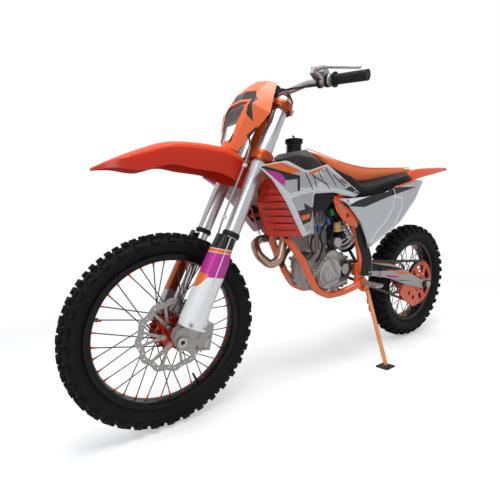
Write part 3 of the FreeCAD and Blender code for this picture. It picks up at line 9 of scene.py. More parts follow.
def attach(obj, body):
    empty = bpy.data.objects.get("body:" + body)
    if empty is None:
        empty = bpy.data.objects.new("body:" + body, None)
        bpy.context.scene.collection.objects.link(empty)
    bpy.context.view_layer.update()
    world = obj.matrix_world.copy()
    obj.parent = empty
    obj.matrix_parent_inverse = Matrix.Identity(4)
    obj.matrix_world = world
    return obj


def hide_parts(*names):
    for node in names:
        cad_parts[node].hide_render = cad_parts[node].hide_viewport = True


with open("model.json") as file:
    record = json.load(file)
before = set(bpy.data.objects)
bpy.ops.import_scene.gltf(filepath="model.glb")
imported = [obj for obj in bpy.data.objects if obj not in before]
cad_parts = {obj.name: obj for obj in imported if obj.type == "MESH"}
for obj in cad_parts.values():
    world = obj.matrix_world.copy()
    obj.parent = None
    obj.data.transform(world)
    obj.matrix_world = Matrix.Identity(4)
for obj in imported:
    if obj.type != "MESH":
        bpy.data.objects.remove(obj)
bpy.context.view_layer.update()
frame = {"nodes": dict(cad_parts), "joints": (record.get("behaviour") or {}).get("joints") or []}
nodes = frame["nodes"]


# Stance. The bike leans to its left on its side stand, so each piece is drawn upright in millimetres
# and then placed by the axle or the fork that it belongs to: x ahead, y to the rider's left, z up.
MM = 0.001
joints = {joint["name"]: joint for joint in frame["joints"]}
rear_axle = Vector(joints["rear_wheel_spin"]["pos_m"])
front_axle = Vector(joints["front_wheel_spin"]["pos_m"])
left = Vector(joints["rear_wheel_spin"]["axis"])
forward = Vector((1, 0, 0))
bike_up = forward.cross(left)
fork_up = Vector(joints["steering"]["axis"])
fork_ahead = left.cross(fork_up)
rear_radius = 335
fork_offset = 55


def placed(ahead, up, origin):
    matrix = Matrix((ahead, left, up)).transposed().to_4x4()
    matrix.translation = origin
    return matrix


bike = placed(forward, bike_up, rear_axle - bike_up * (rear_radius * MM))
places = {
    "chassis": bike, "fork": placed(fork_ahead, fork_up, front_axle - fork_ahead * (fork_offset * MM)),
    "front_wheel": placed(forward, bike_up, front_axle), "rear_wheel": placed(forward, bike_up, rear_axle),
}


# Photograph's view. A wide lens stands ahead of the bike on its left, at the height of the seat,
# and is turned a few degrees about its own line of sight.
view_turn, view_tilt, view_roll = (math.radians(angle) for angle in (-123.5, -0.8, -4.9))
level = math.cos(view_tilt)
sight = Vector((level * math.cos(view_turn), level * math.sin(view_turn), math.sin(view_tilt)))
across = sight.cross(Vector((0, 0, 1))).normalized()
above = across.cross(sight)
picture_right = across * math.cos(view_roll) + above * math.sin(view_roll)
picture_up = above * math.cos(view_roll) - across * math.sin(view_roll)
camera = bpy.data.objects.new("camera", bpy.data.cameras.new("camera"))
camera.data.sensor_width = 36
camera.data.lens = 23.68
camera.matrix_world = Matrix((picture_right, picture_up, -sight)).transposed().to_4x4()
camera.matrix_world.translation = bike.translation + Vector((1.865, 1.191, 0.619))
bpy.context.scene.collection.objects.link(camera)
bpy.context.scene.camera = camera
bpy.context.scene.view_settings.view_transform = "Standard"


class Signal:
    """One socket of a finish's node tree. Arithmetic on signals adds Math nodes."""

    def __init__(self, tree, socket=None):
        self.tree = tree
        self.socket = socket

    def node(self, kind, settings=None, sockets=None, output=0):
        """Adds a node: its settings come first, then the values or links of its sockets."""
        made = self.tree.nodes.new("ShaderNode" + kind)
        for name, value in (settings or {}).items():
            setattr(made, name, value)
        for name, value in (sockets or {}).items():
            self.feed(made.inputs[name], value)
        return Signal(self.tree, made.outputs[output])

    def feed(self, socket, value):
        if isinstance(value, Signal):
            self.tree.links.new(value.socket, socket)
        else:
            socket.default_value = value

    def math(self, operation, other=0.0):
        return self.node("Math", {"operation": operation}, {0: self, 1: other})

    def __add__(self, other):
        return self.math("ADD", other)

    def __sub__(self, other):
        return self.math("SUBTRACT", other)

    def __mul__(self, other):
        return self.math("MULTIPLY", other)

    def __gt__(self, other):
        return self.math("GREATER_THAN", other)

    def __lt__(self, other):
        return self.math("LESS_THAN", other)

    def __abs__(self):
        return self.math("ABSOLUTE")

    def wave(self):
        """Swings between 0 and 1 as this signal grows."""
        return self.math("SINE") * 0.5 + 0.5

    def over(self, under, paint):
        """Paints a colour over another where this mask is 1."""
        return self.node("Mix", {"data_type": "RGBA"}, {0: self, 6: under, 7: paint}, 2)

    def noise(self, scale, detail=2.0):
        return self.node("TexNoise", {}, {"Vector": self, "Scale": scale, "Detail": detail})

    def cells(self, scale, distance="EUCLIDEAN"):
        return self.node("TexVoronoi", {"feature": "F1", "distance": distance}, {"Vector": self, "Scale": scale})

    def spread(self, low, high, *ends):
        """Runs from 0 to 1, or between the two ends, while this signal runs from low to high."""
        return self.node("MapRange", {}, dict(enumerate((self, low, high) + ends)))

    def axes(self):
        return [self.node("SeparateXYZ", {}, {0: self}, output) for output in range(3)]

    def toward(self, direction):
        """How far a place lies in a direction."""
        return self.node("VectorMath", {"operation": "DOT_PRODUCT"}, {0: self, 1: tuple(direction)}, 1)

    def length(self):
        return self.node("VectorMath", {"operation": "LENGTH"}, {0: self}, 1)

    def from_axle(self):
        """How far a place lies from the wheel's axis."""
        return self.node("VectorMath", {"operation": "MULTIPLY"}, {0: self, 1: (1, 0, 1)}).length()


def tone(red, green, blue):
    return (red, green, blue, 1.0)


# Studio. A wide pale floor takes the bike's shadow and fades into a white background; one large
# soft lamp hangs over its left shoulder and weaker ones stand ahead and on its right.
world = bpy.data.worlds.new("studio")
bpy.context.scene.world = world
world.use_nodes = True
sky = Signal(world.node_tree)
seen, mirrored, through = (sky.node("LightPath", output=output) for output in (0, 3, 6))
direct = seen.math("MAXIMUM", (mirrored * 0.55).math("MAXIMUM", through))
backdrop = direct.over(tone(0.34, 0.35, 0.37), tone(1, 1, 1))
sky.feed(world.node_tree.nodes["Background"].inputs["Color"], backdrop)
for name, place, power, size in (
        ("overhead", (0.5, 0.9, 3.6), 92, 2.2), ("ahead", (3.4, 2.6, 2.2), 34, 1.6),
        ("behind", (-2.4, -2.8, 2.4), 26, 2.0)):
    lamp = bpy.data.objects.new(name, bpy.data.lights.new(name, "AREA"))
    lamp.data.energy = power
    lamp.data.size = size
    lamp.location = place
    lamp.rotation_euler = (Vector((0, 0, 0.6)) - Vector(place)).to_track_quat("-Z", "Y").to_euler()
    bpy.context.scene.collection.objects.link(lamp)

bpy.ops.mesh.primitive_grid_add(x_subdivisions=2, y_subdivisions=2, size=12)
floor = bpy.context.object
floor.name = "floor"
floor_finish = bpy.data.materials.new("floor_paper")
floor_finish.use_nodes = True
start = Signal(floor_finish.node_tree)
fade = start.node("TexCoord", output=3).length().spread(1.9, 3.6)
paper = start.node("BsdfDiffuse", {}, {"Color": tone(0.82, 0.82, 0.82)})
glow = start.node("Emission", {}, {"Color": tone(1, 1, 1), "Strength": 0.40})
lit = start.node("AddShader", {}, {0: paper, 1: glow})
shown = start.node("MixShader", {}, {0: start.node("LightPath", output=0), 1: paper, 2: lit})
faded = start.node("MixShader", {}, {0: fade, 1: shown, 2: start.node("BsdfTransparent")})
start.feed(start.tree.nodes["Material Output"].inputs["Surface"], faded)
floor.data.materials.append(floor_finish)


# Frame and subframe. Welded steel tubes with a glossy orange powder coat, a little uneven over
# the welds. The black moulded plastic that many later pieces are made of is mixed here too.
shader_sockets = {
    "colour": "Base Color", "rough": "Roughness", "metal": "Metallic", "coat": "Coat Weight",
    "coat_rough": "Coat Roughness", "shine": "Specular IOR Level", "sheen": "Sheen Weight", "alpha": "Alpha",
    "glow": "Emission Strength", "glow_colour": "Emission Color",
}


def blank(name):
    """A new finish: its material and the place on the piece, which its patterns start from."""
    material = bpy.data.materials.new(name)
    material.use_nodes = True
    return material, Signal(material.node_tree).node("TexCoord", output=3)


def dress(material, height, depth, **values):
    """Sets the shader's sockets, and a bump from height in micrometres of depth."""
    shader = material.node_tree.nodes["Principled BSDF"]
    for name, value in values.items():
        height.feed(shader.inputs[shader_sockets[name]], value)
    bump = height.node("Bump", {}, {"Height": height, "Distance": depth * 1e-6, "Strength": 1.0})
    height.feed(shader.inputs["Normal"], bump)
    return material


def finish(name, colour, rough, metal=0.0, coat=0.0, grain=420, depth=60, patch=0.12, **values):
    """A finish whose colour and gloss drift in soft patches over a fine grain; blacks shine less."""
    material, place = blank(name)
    cloud = place.noise(11, 5)
    worn, fresh = (tone(*(min(1, c * (1 + drift)) for c in colour)) for drift in (-patch, patch))
    return dress(
        material, place.noise(grain, 3), depth, colour=cloud.over(worn, fresh),
        rough=cloud * (patch * 2) + (rough - patch), metal=metal, coat=coat, coat_rough=0.08,
        shine=0.5 if max(colour) > 0.05 else 0.2, **values)


def rounded(made, width, angle):
    edge = made.modifiers.new("edge", "BEVEL")
    edge.width = width * MM
    edge.segments = 2
    edge.angle_limit = math.radians(angle)
    edge.harden_normals = True


def restyle(material, round_edge, *names):
    """Gives CAD nodes their finish, and rounds their hard edges."""
    for name in names:
        node = nodes[name]
        node.data.materials.clear()
        node.data.materials.append(material)
        if round_edge:
            node.modifiers.new("weld", "WELD").merge_threshold = 0.00002
            rounded(node, round_edge, 35)


orange_coat = finish("orange_powder_coat", (0.80, 0.115, 0.02), 0.30, coat=0.5, depth=80)
black_plastic = finish("black_moulded_plastic", (0.012, 0.012, 0.013), 0.50, grain=900, depth=120)
restyle(orange_coat, 0, "frame", "subframe")


# Engine. Sand-cast grey alloy: split crankcase, ribbed water-cooled cylinder and head, and bolted
# covers; the ignition cover on the left carries slanted ribs, the clutch cover a round lid.
def skinned(rows, ring=True, wrap=False, ends=False):
    """Faces between rows of points: ring closes each row, wrap joins the last row to the first."""
    count = len(rows[0])
    points = [Vector(point) for row in rows for point in row]
    faces = []
    for row in range(len(rows) if wrap else len(rows) - 1):
        for column in range(count if ring else count - 1):
            a, b = row * count + column, row * count + (column + 1) % count
            c, d = (a + count) % len(points), (b + count) % len(points)
            faces.append((a, b, d, c))
    if ends:
        faces += [tuple(range(count)), tuple(range(len(points) - count, len(points)))]
    return points, faces


def at(turn, radius):
    """A place (x, z) by its share of a full turn and its radius."""
    return radius * math.cos(math.tau * turn), radius * math.sin(math.tau * turn)


def around(count, radius, centre=(0, 0), start=0.0):
    """Places (x, z) at equal turns round a centre; start counts in steps."""
    spots = [at((step + start) / count, radius) for step in range(count)]
    return [(centre[0] + x, centre[1] + z) for x, z in spots]


def circle(x, z, radius, steps=24, wave=0.0, waves=0):
    """A round outline; wave and waves ripple its edge."""
    reach = [radius + wave * math.cos(math.tau * waves * step / steps) for step in range(steps)]
    return [(x + a, z + b) for a, b in (at(step / steps, reach[step]) for step in range(steps))]


def spun(profile, steps=48, closed=False):
    """Revolves (y, radius) corners about the y line; closed makes the profile a ring."""
    return skinned([[(x, y, z) for z, x in around(steps, radius)] for y, radius in profile], wrap=closed)


def within(spot, outlines):
    """Whether a point is inside the outlines, where one inside another is a hole."""
    crossings = 0
    for outline in outlines:
        for (xa, za), (xb, zb) in zip(outline, outline[1:] + outline[:1]):
            if (za > spot[1]) != (zb > spot[1]):
                crossings += spot[0] < xa + (xb - xa) * (spot[1] - za) / (zb - za)
    return crossings % 2 == 1


def filled(outlines, extra=()):
    """Triangles that fill the outlines and pass through the extra points."""
    corners, edges = [], []
    for outline in outlines:
        first, count = len(corners), len(outline)
        corners += [Vector(corner) for corner in outline]
        edges += [(first + i, first + (i + 1) % count) for i in range(count)]
    flat, _, faces, *_ = geometry.delaunay_2d_cdt(corners + [Vector(spot) for spot in extra], edges, [], 0, 1e-4)
    middles = [[sum(flat[i][axis] for i in face) / 3 for axis in (0, 1)] for face in faces]
    return flat, [tuple(face) for face, middle in zip(faces, middles) if within(middle, outlines)]


def slab(outlines, low, high):
    """A plate between low and high across the bike: the first (x, z) outline less the others."""
    flat, faces = filled(outlines)
    count = len(flat)
    points = [Vector((x, y, z)) for y in (low, high) for x, z in flat]
    sides = {(a, b) for face in faces for a, b in zip(face, face[1:] + face[:1])}
    rim = [(a, b, b + count, a + count) for a, b in sides if (b, a) not in sides]
    return points, faces + [tuple(i + count for i in face) for face in faces] + rim


def eased(outline, radius, steps=3):
    """An outline with its corners rounded."""
    made = []
    for i, corner in enumerate(outline):
        here = Vector(corner)
        before, after = Vector(outline[i - 1]) - here, Vector(outline[(i + 1) % len(outline)]) - here
        start = here + before.normalized() * min(radius, before.length * 0.45)
        end = here + after.normalized() * min(radius, after.length * 0.45)
        for step in range(steps + 1):
            t = step / steps
            made.append(tuple(start * (1 - t) ** 2 + here * (2 * t * (1 - t)) + end * t ** 2))
    return made


def plate(outline, radius, low, high, *holes):
    return slab([eased(outline, radius), *holes], low, high)


def discs(spots, radius, low, high, steps=24):
    return [slab([circle(x, z, radius, steps)], low, high) for x, z in spots]


def smooth_line(points, steps=6):
    """Points along a curve through the given points, in the plane of x and y or in space."""
    points = [Vector((*point, 0)[:3]) for point in points]
    made = []
    for i in range(len(points) - 1):
        a, b = points[max(i - 1, 0)], points[i]
        c, d = points[i + 1], points[min(i + 2, len(points) - 1)]
        for step in range(steps):
            t = step / steps
            bend = (a * 2 - b * 5 + c * 4 - d) * t ** 2 + (b * 3 - a - c * 3 + d) * t ** 3
            made.append((b * 2 + (c - a) * t + bend) / 2)
    return made + [points[-1]]


def swept(line, radius, sides=12):
    """A round section along a line of points; radius is a number, or one for each point."""
    line = [Vector(point) for point in line]
    radii = radius if isinstance(radius, list) else [radius] * len(line)
    normal = (line[1] - line[0]).normalized().orthogonal().normalized()
    rows = []
    for i, point in enumerate(line):
        ahead = (line[min(i + 1, len(line) - 1)] - line[max(i - 1, 0)]).normalized()
        normal = (normal - ahead * normal.dot(ahead)).normalized()
        cross = ahead.cross(normal)
        rows.append([point + normal * a + cross * b for a, b in around(sides, radii[i])])
    return skinned(rows, ends=True)


def collar(start, direction, length, radius, sides):
    """A short cylinder from a point in a direction."""
    return swept([Vector(start), Vector(start) + Vector(direction) * length], radius, sides)


def moved(part, matrix):
    return [matrix @ point for point in part[0]], part[1]


def swapped(part):
    """Exchanges y and z: a plate that was drawn on edge lies flat."""
    return [Vector((p.x, p.z, p.y)) for p in part[0]], part[1]


def one(parts):
    """Several parts as one."""
    if not isinstance(parts, list):
        return parts
    points, faces = [], []
    for some, joins in parts:
        faces += [tuple(i + len(points) for i in face) for face in joins]
        points += some
    return points, faces


def flipped(parts):
    points, faces = one(parts)
    return [Vector((p.x, -p.y, p.z)) for p in points], [face[::-1] for face in faces]


def pair(parts):
    return [one(parts), flipped(parts)]


def facing(origin, direction):
    """Places a part that was drawn along z so that it points in a direction."""
    matrix = Vector(direction).to_track_quat("Z", "Y").to_matrix().to_4x4()
    matrix.translation = Vector(origin)
    return matrix


def axis_at(origin, direction=(0, 0, 1)):
    """Places a part that was spun about the y line so that this line points in a direction."""
    return facing(origin, direction) @ Matrix.Rotation(math.radians(90), 4, "X")


def turned(profile, steps, origin, direction=(0, 0, 1), closed=False):
    """Revolves a profile about a line from an origin in a direction."""
    return moved(spun(profile, steps, closed), axis_at(origin, direction))


def screw(origin, direction, radius, height=None):
    """A round screw head with a hexagon socket."""
    height = height or radius * 0.9
    rows = []
    for share, rise in ((1.0, -0.4), (1.0, 0.8), (0.86, 1.0)):
        rows.append([(x, y, height * rise) for x, y in around(12, radius * share)])
    for depth in (1.0, 0.35):
        reach = [0.5 if corner % 2 else 0.433 for corner in range(12)]
        rows.append([(x * r, y * r, height * depth) for r, (x, y) in zip(reach, around(12, radius))])
    return moved(skinned(rows, ends=True), facing(origin, direction))


def screws(spots, y, radius, height=None):
    """Screws at (x, z) spots whose heads face out at y."""
    return [screw((x, y, z), (0, math.copysign(1, y), 0), radius, height) for x, z in spots]


def smoothed(made, levels):
    smooth = made.modifiers.new("smooth", "SUBSURF")
    smooth.levels = smooth.render_levels = levels


def piece(
        name, parts, material, body="chassis", place=None, bevel=0.0, levels=0, wall=0.0, sharp=38, stands_for=()):
    """Makes a piece of the bike from parts in millimetres, and lets it ride on its body."""
    points, faces = one(parts)
    mesh = bpy.data.meshes.new(name)
    mesh.from_pydata([tuple(point * MM) for point in points], [], faces)
    form = bmesh.new()
    form.from_mesh(mesh)
    bmesh.ops.remove_doubles(form, verts=form.verts, dist=0.00001)
    if not wall:
        bmesh.ops.recalc_face_normals(form, faces=form.faces)
    form.to_mesh(mesh)
    form.free()
    mesh.shade_smooth()
    mesh.set_sharp_from_angle(angle=math.radians(sharp))
    made = bpy.data.objects.new(name, mesh)
    bpy.context.scene.collection.objects.link(made)
    made.matrix_world = place or places[body]
    mesh.materials.append(material)
    if levels:
        smoothed(made, levels)
    if wall:
        shell = made.modifiers.new("wall", "SOLIDIFY")
        shell.thickness = abs(wall) * MM
        shell.offset = -1 if wall > 0 else 1
    if bevel:
        rounded(made, bevel, sharp)
    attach(made, body)
    if stands_for:
        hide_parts(*stands_for)
    return made


case_cast = finish("sand_cast_alloy", (0.36, 0.34, 0.325), 0.46, metal=0.85, grain=700, depth=300, patch=0.16)
cover_cast = finish("satin_cover_alloy", (0.44, 0.425, 0.41), 0.38, metal=0.9, grain=900, depth=100, patch=0.10)
bolt_steel = finish("zinc_bolt_steel", (0.46, 0.45, 0.43), 0.30, metal=1.0)
hose_rubber = finish("hose_rubber", (0.010, 0.010, 0.011), 0.46, grain=600, depth=100)
case_line = [
    (612, 406), (640, 397), (827, 401), (858, 435), (874, 544), (820, 585), (700, 585), (649, 560), (612, 540),
]
case_middle = (745, 490)


def shrunk(outline, centre, share):
    return [(centre[0] + (x - centre[0]) * share, centre[1] + (z - centre[1]) * share) for x, z in outline]


case_bolts = shrunk(case_line, case_middle, 0.93)
case_parts = [plate(case_line, 14, -40, 40)]
case_parts += [plate(shrunk(case_line, case_middle, 0.94), 18, low, high) for low, high in ((-62, -40), (40, 62))]
case_parts.append(plate(shrunk(case_line, case_middle, 1.015), 14, -3, 3))
case_parts += discs(case_bolts, 9, -64, 64, 12)
for step in range(5):
    x = 664 + 34 * step
    case_parts.append(slab([[(x, 392), (x + 5, 392), (x + 5, 420), (x, 420)]], -58, 58))
piece("crankcase_halves", case_parts, case_cast, bevel=1.8, stands_for=("crankcase",))

barrel = [(749, 580), (870, 580), (885.5, 700), (760, 700)]
head = [(744.5, 700), (895, 700), (899.4, 772), (889, 788), (766, 788), (755, 775)]
lid = [(768, 768), (886, 768), (882, 796), (862, 804), (796, 804), (772, 796)]
barrel_bolts = [(768, 600), (862, 600), (777, 690), (872, 690), (765, 742), (889, 742)]
barrel_parts = [plate(barrel, 12, -56, 56), plate(head, 10, -60, 60)]
barrel_parts.append(plate([(742, 694), (898, 694), (898, 706), (742, 706)], 3, -66, 66))
for step in range(6):
    x = 757 + 20.5 * step
    barrel_parts.append(slab([[(x, 588), (x + 4.5, 588), (x + 16.5, 696), (x + 12, 696)]], -64, 64))
    barrel_parts.append(slab([[(x + 6, 708), (x + 10.5, 708), (x + 12.5, 766), (x + 8, 766)]], -68, 68))
barrel_parts += discs(barrel_bolts, 8.5, -67, 67, 12) + [plate(lid, 8, -50, 50)]
port_place = Matrix.Translation((880, 0, 738)) @ Matrix.Rotation(math.radians(-80), 4, "Z")
barrel_parts.append(moved(spun([(0, 0), (0, 21), (30, 19), (30, 0)], 20), port_place))
piece("cylinder_and_head", barrel_parts, case_cast, bevel=1.2, stands_for=("cylinder",))

cover_centre, clutch_centre, boss = (776, 485), (732, 490), (790, 478)
cover_bolts = around(7, 72.5, cover_centre, 0.3)
clutch_bolts = around(8, 87, clutch_centre)
lobe = eased([(722, 520), (716, 566), (742, 588), (782, 570), (800, 520), (760, 500)], 16)
cover_parts = discs([cover_centre], 72, 60, 98, 40) + discs([cover_centre], 66, 98, 106, 40)
cover_parts += [slab([lobe], 60, 88), slab([circle(*boss, 24, 32), circle(*boss, 18, 32)], 112, 116.5)]
cover_parts += discs([boss], 33, 104, 114, 32) + discs([boss], 10, 112, 117, 16)
for step in range(6):
    x, z = 721.5 + 6.5 * step, 470 + 12.5 * step
    cover_parts.append(slab([[(x, z), (x + 30, z + 23.5), (x + 27.5, z + 27), (x - 2.5, z + 3.5)]], 104, 109.5))
cover_parts += discs(cover_bolts, 8.5, 60, 101, 14)
starter = spun([(10, 0), (10, 21), (14, 24), (94, 24), (99, 21), (99, 0)], 32)
cover_parts.append(moved(starter, Matrix.Translation((722, 0, 618))))
for radius, low, high in ((88, -104, -60), (81, -112, -100), (62, -120, -110), (20, -122.5, -118)):
    cover_parts += discs([clutch_centre], radius, low, high, 44)
cover_parts += discs(clutch_bolts, 9, -108, -60, 14)
water_pump = spun([(-112, 0), (-112, 20), (-100, 30), (-60, 32), (-60, 0)], 28)
cover_parts.append(moved(water_pump, Matrix.Translation((835, 0, 445))))
piece("engine_side_covers", cover_parts, cover_cast, bevel=1.2, stands_for=("engine_covers",))

engine_screws = screws(cover_bolts, 101, 5.2) + screws(clutch_bolts, -108, 5.2)
engine_screws += screws(around(8, 54.5, clutch_centre), -120, 4.2)
for y in (1, -1):
    engine_screws += screws(case_bolts, 64 * y, 5.6) + screws(barrel_bolts, 67 * y, 5.8)
piece("engine_screws", engine_screws, bolt_steel)


# Tyres. Black rubber with moulded lugs: centre, middle and shoulder rows that alternate round the
# tread, each lug with a shallow dimple in its top; the bare sidewalls carry fine moulding rings.
lug_repeats = 36


def tyre(half_outline, lugs):
    """A carcass from its bead-to-crown outline as (y, radius), with rows of lugs round it."""
    profile = [(point.x, point.y) for point in smooth_line(half_outline, 4)]
    profile += [(-y, radius) for y, radius in reversed(profile[:-1])]
    parts = [spun(profile, 120)]
    for y, radius, tilt, half_across, half_along, height, phase in lugs:
        for z, x in around(lug_repeats, 1, start=phase):
            outward, along = Vector((x, 0, z)), Vector((z, 0, -x))
            for hand in ((1, -1) if y else (1,)):
                lean = math.radians(tilt) * hand
                normal = outward * math.cos(lean) + Vector((0, math.sin(lean), 0))
                cross = Vector((0, math.cos(lean), 0)) - outward * math.sin(lean)
                rows = []
                for size, rise in ((1.06, -4), (0.90, height), (0.58, height), (0.50, height - 1.2)):
                    middle = outward * radius + Vector((0, y * hand, 0)) + normal * rise
                    a, b = cross * (half_across * size), along * (half_along * size)
                    rows.append([middle + a + b, middle + a - b, middle - a - b, middle - a + b])
                parts.append(skinned(rows, ends=True))
    return parts


material, place = blank("tyre_rubber")
mould = (place.from_axle() * 2400).math("SINE")
dusty = place.noise(26, 6)
tyre_rubber = dress(
    material, mould * 0.25 + place.noise(900), 250, rough=dusty * 0.25 + 0.44, shine=0.14,
    colour=dusty.over(tone(0.0025, 0.0025, 0.0028), tone(0.0085, 0.0082, 0.008)))
front_outline = [(20, 262.5), (21, 276), (30, 285), (37, 298), (38.8, 311), (34, 324), (21, 332.5), (0, 335)]
front_lugs = [
    (10, 333.5, 8, 7.8, 10.5, 12.2, 0.25), (23.5, 329, 26, 7, 11.2, 12.5, 0.75),
    (35, 322, 55, 8, 12, 10.5, 0.75), (0, 334, 0, 7, 8.5, 11.8, 0.75),
]
rear_outline = [(28.5, 223.5), (30.5, 238), (43, 250), (51.5, 268), (53.5, 285), (47.5, 301), (31, 314), (0, 318.5)]
rear_lugs = [
    (12, 317.2, 6, 10, 9.5, 15.5, 0.25), (32, 310, 26, 9.8, 11, 15, 0.75),
    (49, 296, 56, 9, 12, 11.5, 0.75), (0, 318, 0, 8, 8.5, 14.5, 0.75),
]
for end, outline, lugs in (("front", front_outline, front_lugs), ("rear", rear_outline, rear_lugs)):
    piece(
        end + "_knobby_tyre", tyre(outline, lugs), tyre_rubber, end + "_wheel", bevel=0.8,
        stands_for=(end + "_tyre",))


# Rims, spokes and nipples. Black anodised aluminium rims laced with thin dark spokes; the nipples
# are orange aluminium, and a black valve stands inside each rim beside a rim lock.
rim_black = finish("black_rim_anodise", (0.004, 0.004, 0.0045), 0.20)
spoke_dark = finish("dark_spoke_steel", (0.055, 0.052, 0.050), 0.34, metal=0.9)
nipple_orange = finish("orange_nipple_anodise", (0.72, 0.09, 0.02), 0.28, metal=0.8)
restyle(rim_black, 1.2, "front_rim", "rear_rim")
restyle(spoke_dark, 0, "front_spokes", "rear_spokes")
spokes = 36


def on_wheel(degrees, radius, y=0.0):
    """A spot on a wheel by its angle from the top."""
    z, x = at(degrees / 360, radius)
    return Vector((x, y, z))


for end, flange, flange_y, rim_inner in (("front", 58, 33, 250.7), ("rear", 62, 36, 212.7)):
    nipples, heads = [], []
    for spoke in range(spokes):
        hand = 1 if spoke % 2 else -1
        slant = 1 if spoke % 4 < 2 else -1
        angle = spoke * 360 / spokes
        begin = on_wheel(angle + slant * 38, flange + 1.25, hand * (flange_y - 4.5 + slant * 4))
        tip = on_wheel(angle, rim_inner, hand * (5 + slant * 2))
        inward = (begin - tip).normalized()
        nipples.append(swept([tip + inward * step for step in (-2, 4, 4.5, 16)], [4.2, 4.2, 3.2, 2.8], 8))
        heads.append(swept([begin - inward * 3, begin + inward * 6], [3.4, 2.6], 8))
    piece(end + "_nipples", nipples, nipple_orange, end + "_wheel")
    piece(end + "_spoke_heads", heads, spoke_dark, end + "_wheel")
    valve = swept([on_wheel(205, rim_inner + 6 - 12 * step) for step in range(5)], [5.5, 5.5, 4.2, 4.2, 3.6])
    lock = swept([on_wheel(70, rim_inner + 4), on_wheel(70, rim_inner - 12)], 6.5, 6)
    stud = swept([on_wheel(70, rim_inner), on_wheel(70, rim_inner - 22)], 3.8, 10)
    piece(end + "_valve_and_rim_lock", [valve, lock, stud], hose_rubber, end + "_wheel")


# Hubs, brake discs and rear sprocket. Machined aluminium hubs anodised red, with scalloped spoke
# flanges; wavy stainless discs and an aluminium sprocket are screwed to their faces.
hub_red = finish("red_orange_anodise", (0.42, 0.026, 0.008), 0.24, metal=0.85, coat=0.3, patch=0.10)
material, place = blank("ground_stainless")
sweep = place.node("TexNoise", {"noise_dimensions": "1D"}, {"W": place.from_axle() * 900, "Detail": 3.0})
stain = place.noise(30, 4).over(tone(0.29, 0.265, 0.25), tone(0.43, 0.40, 0.38))
disc_steel = dress(material, sweep, 40, colour=stain, rough=sweep * 0.2 + 0.20, metal=1.0)


def hub(half, end_radius, spool, flange, flange_y, right_face, left_face):
    """A spool between two scalloped spoke flanges; disc and sprocket are screwed to its faces."""
    profile = [
        (-half, 0), (-half, end_radius), (-right_face, end_radius), (-right_face, 44), (6 - right_face, 44),
        (-flange_y - 2, 36), (6 - flange_y, 36), (-flange_y * 0.4, spool), (flange_y * 0.4, spool),
        (flange_y - 6, 36), (flange_y + 2, 36), (left_face - 6, 44), (left_face, 44), (left_face, end_radius),
        (half, end_radius), (half, 0),
    ]
    outlines = [circle(0, 0, flange - 1.5, 108, 2.8, 18)]
    outlines += [circle(x, z, 2.2, 8) for x, z in around(18, flange - 8, start=0.5)]
    outlines += [circle(x, z, 3.6, 10) for x, z in around(9, 41.5)]
    return [spun(profile)] + pair(slab(outlines, flange_y - 9, flange_y))


def wavy_disc(radius, inner, bore, waves, low, high):
    """A drilled wavy ring on six slanted arms, with a screw boss at each arm's foot."""
    outlines = [circle(0, 0, radius - 4, waves * 10, 4, waves), circle(0, 0, inner, waves * 10, 3, waves)]
    for shift, reach in ((0.0, 0.60), (0.33, 0.36), (0.66, 0.60)):
        spots = around(waves, inner + (radius - inner) * reach - 2, start=shift)
        outlines += [circle(x, z, 3, 10) for x, z in spots]
    parts = [slab(outlines, low, high)]
    middle, thin = (low + high) / 2, (high - low) * 0.42
    for arm in range(6):
        for lean in (0.30, -0.12):
            foot, tip = Vector(at(arm / 6, bore + 14)), Vector(at(arm / 6 + lean / math.tau, inner + 4))
            wide = (tip - foot).orthogonal().normalized()
            corners = (foot + wide * 5.8, foot - wide * 5.8, tip - wide * 4, tip + wide * 4)
            parts.append(slab([[tuple(corner) for corner in corners]], middle - thin, middle + thin))
    return parts + discs(around(6, bore + 12), 10.5, low - 0.3, high + 0.3, 18)


front_hub, rear_hub = hub(62, 22, 27, 58, 33, 52, 52), hub(86, 30, 32, 62, 36, 66, 77)
front_disc, rear_disc = wavy_disc(130, 106, 24, 12, 52, 55.5), wavy_disc(110, 88, 32, 10, -69.5, -66)
piece("front_hub_body", front_hub, hub_red, "front_wheel", bevel=0.7, stands_for=("front_hub",))
piece("rear_hub_body", rear_hub, hub_red, "rear_wheel", bevel=0.7, stands_for=("rear_hub",))
piece("front_wave_disc", front_disc, disc_steel, "front_wheel", stands_for=("front_disc",))
piece("rear_wave_disc", rear_disc, disc_steel, "rear_wheel", stands_for=("rear_disc",))
piece("front_disc_screws", screws(around(6, 36), 55.5, 5.6), bolt_steel, "front_wheel")
piece("rear_disc_screws", screws(around(6, 44), -69.5, 5.6), bolt_steel, "rear_wheel")

teeth = 50
tooth_corners = ((-0.26, 122.2), (-0.10, 130), (0.10, 130), (0.26, 122.2), (0.5, 120.8))
tooth_line = [at((tooth + shift) / teeth, radius) for tooth in range(teeth) for shift, radius in tooth_corners]
windows = []
for window in range(6):
    far = [at((window + share) / 6, 102) for share in (0.16, 0.34, 0.52, 0.70, 0.86)]
    near = [at((window + share) / 6, 62) for share in (0.86, 0.70, 0.52, 0.34)]
    windows.append(eased(far + near, 6))
    windows += [circle(*at((window + share) / 6, 111.5), 4.2, 12) for share in (0.30, 0.70)]
chainwheel = slab([tooth_line, *windows, circle(0, 0, 30.3, 40)], 77, 83)
sprocket_red = finish("sprocket_red_anodise", (0.70, 0.085, 0.02), 0.27, metal=0.8, coat=0.2)
piece("rear_chainwheel", chainwheel, sprocket_red, "rear_wheel", bevel=0.6, stands_for=("rear_sprocket",))
piece("sprocket_bolts", screws(around(6, 50), 83, 6, 7), bolt_steel, "rear_wheel")


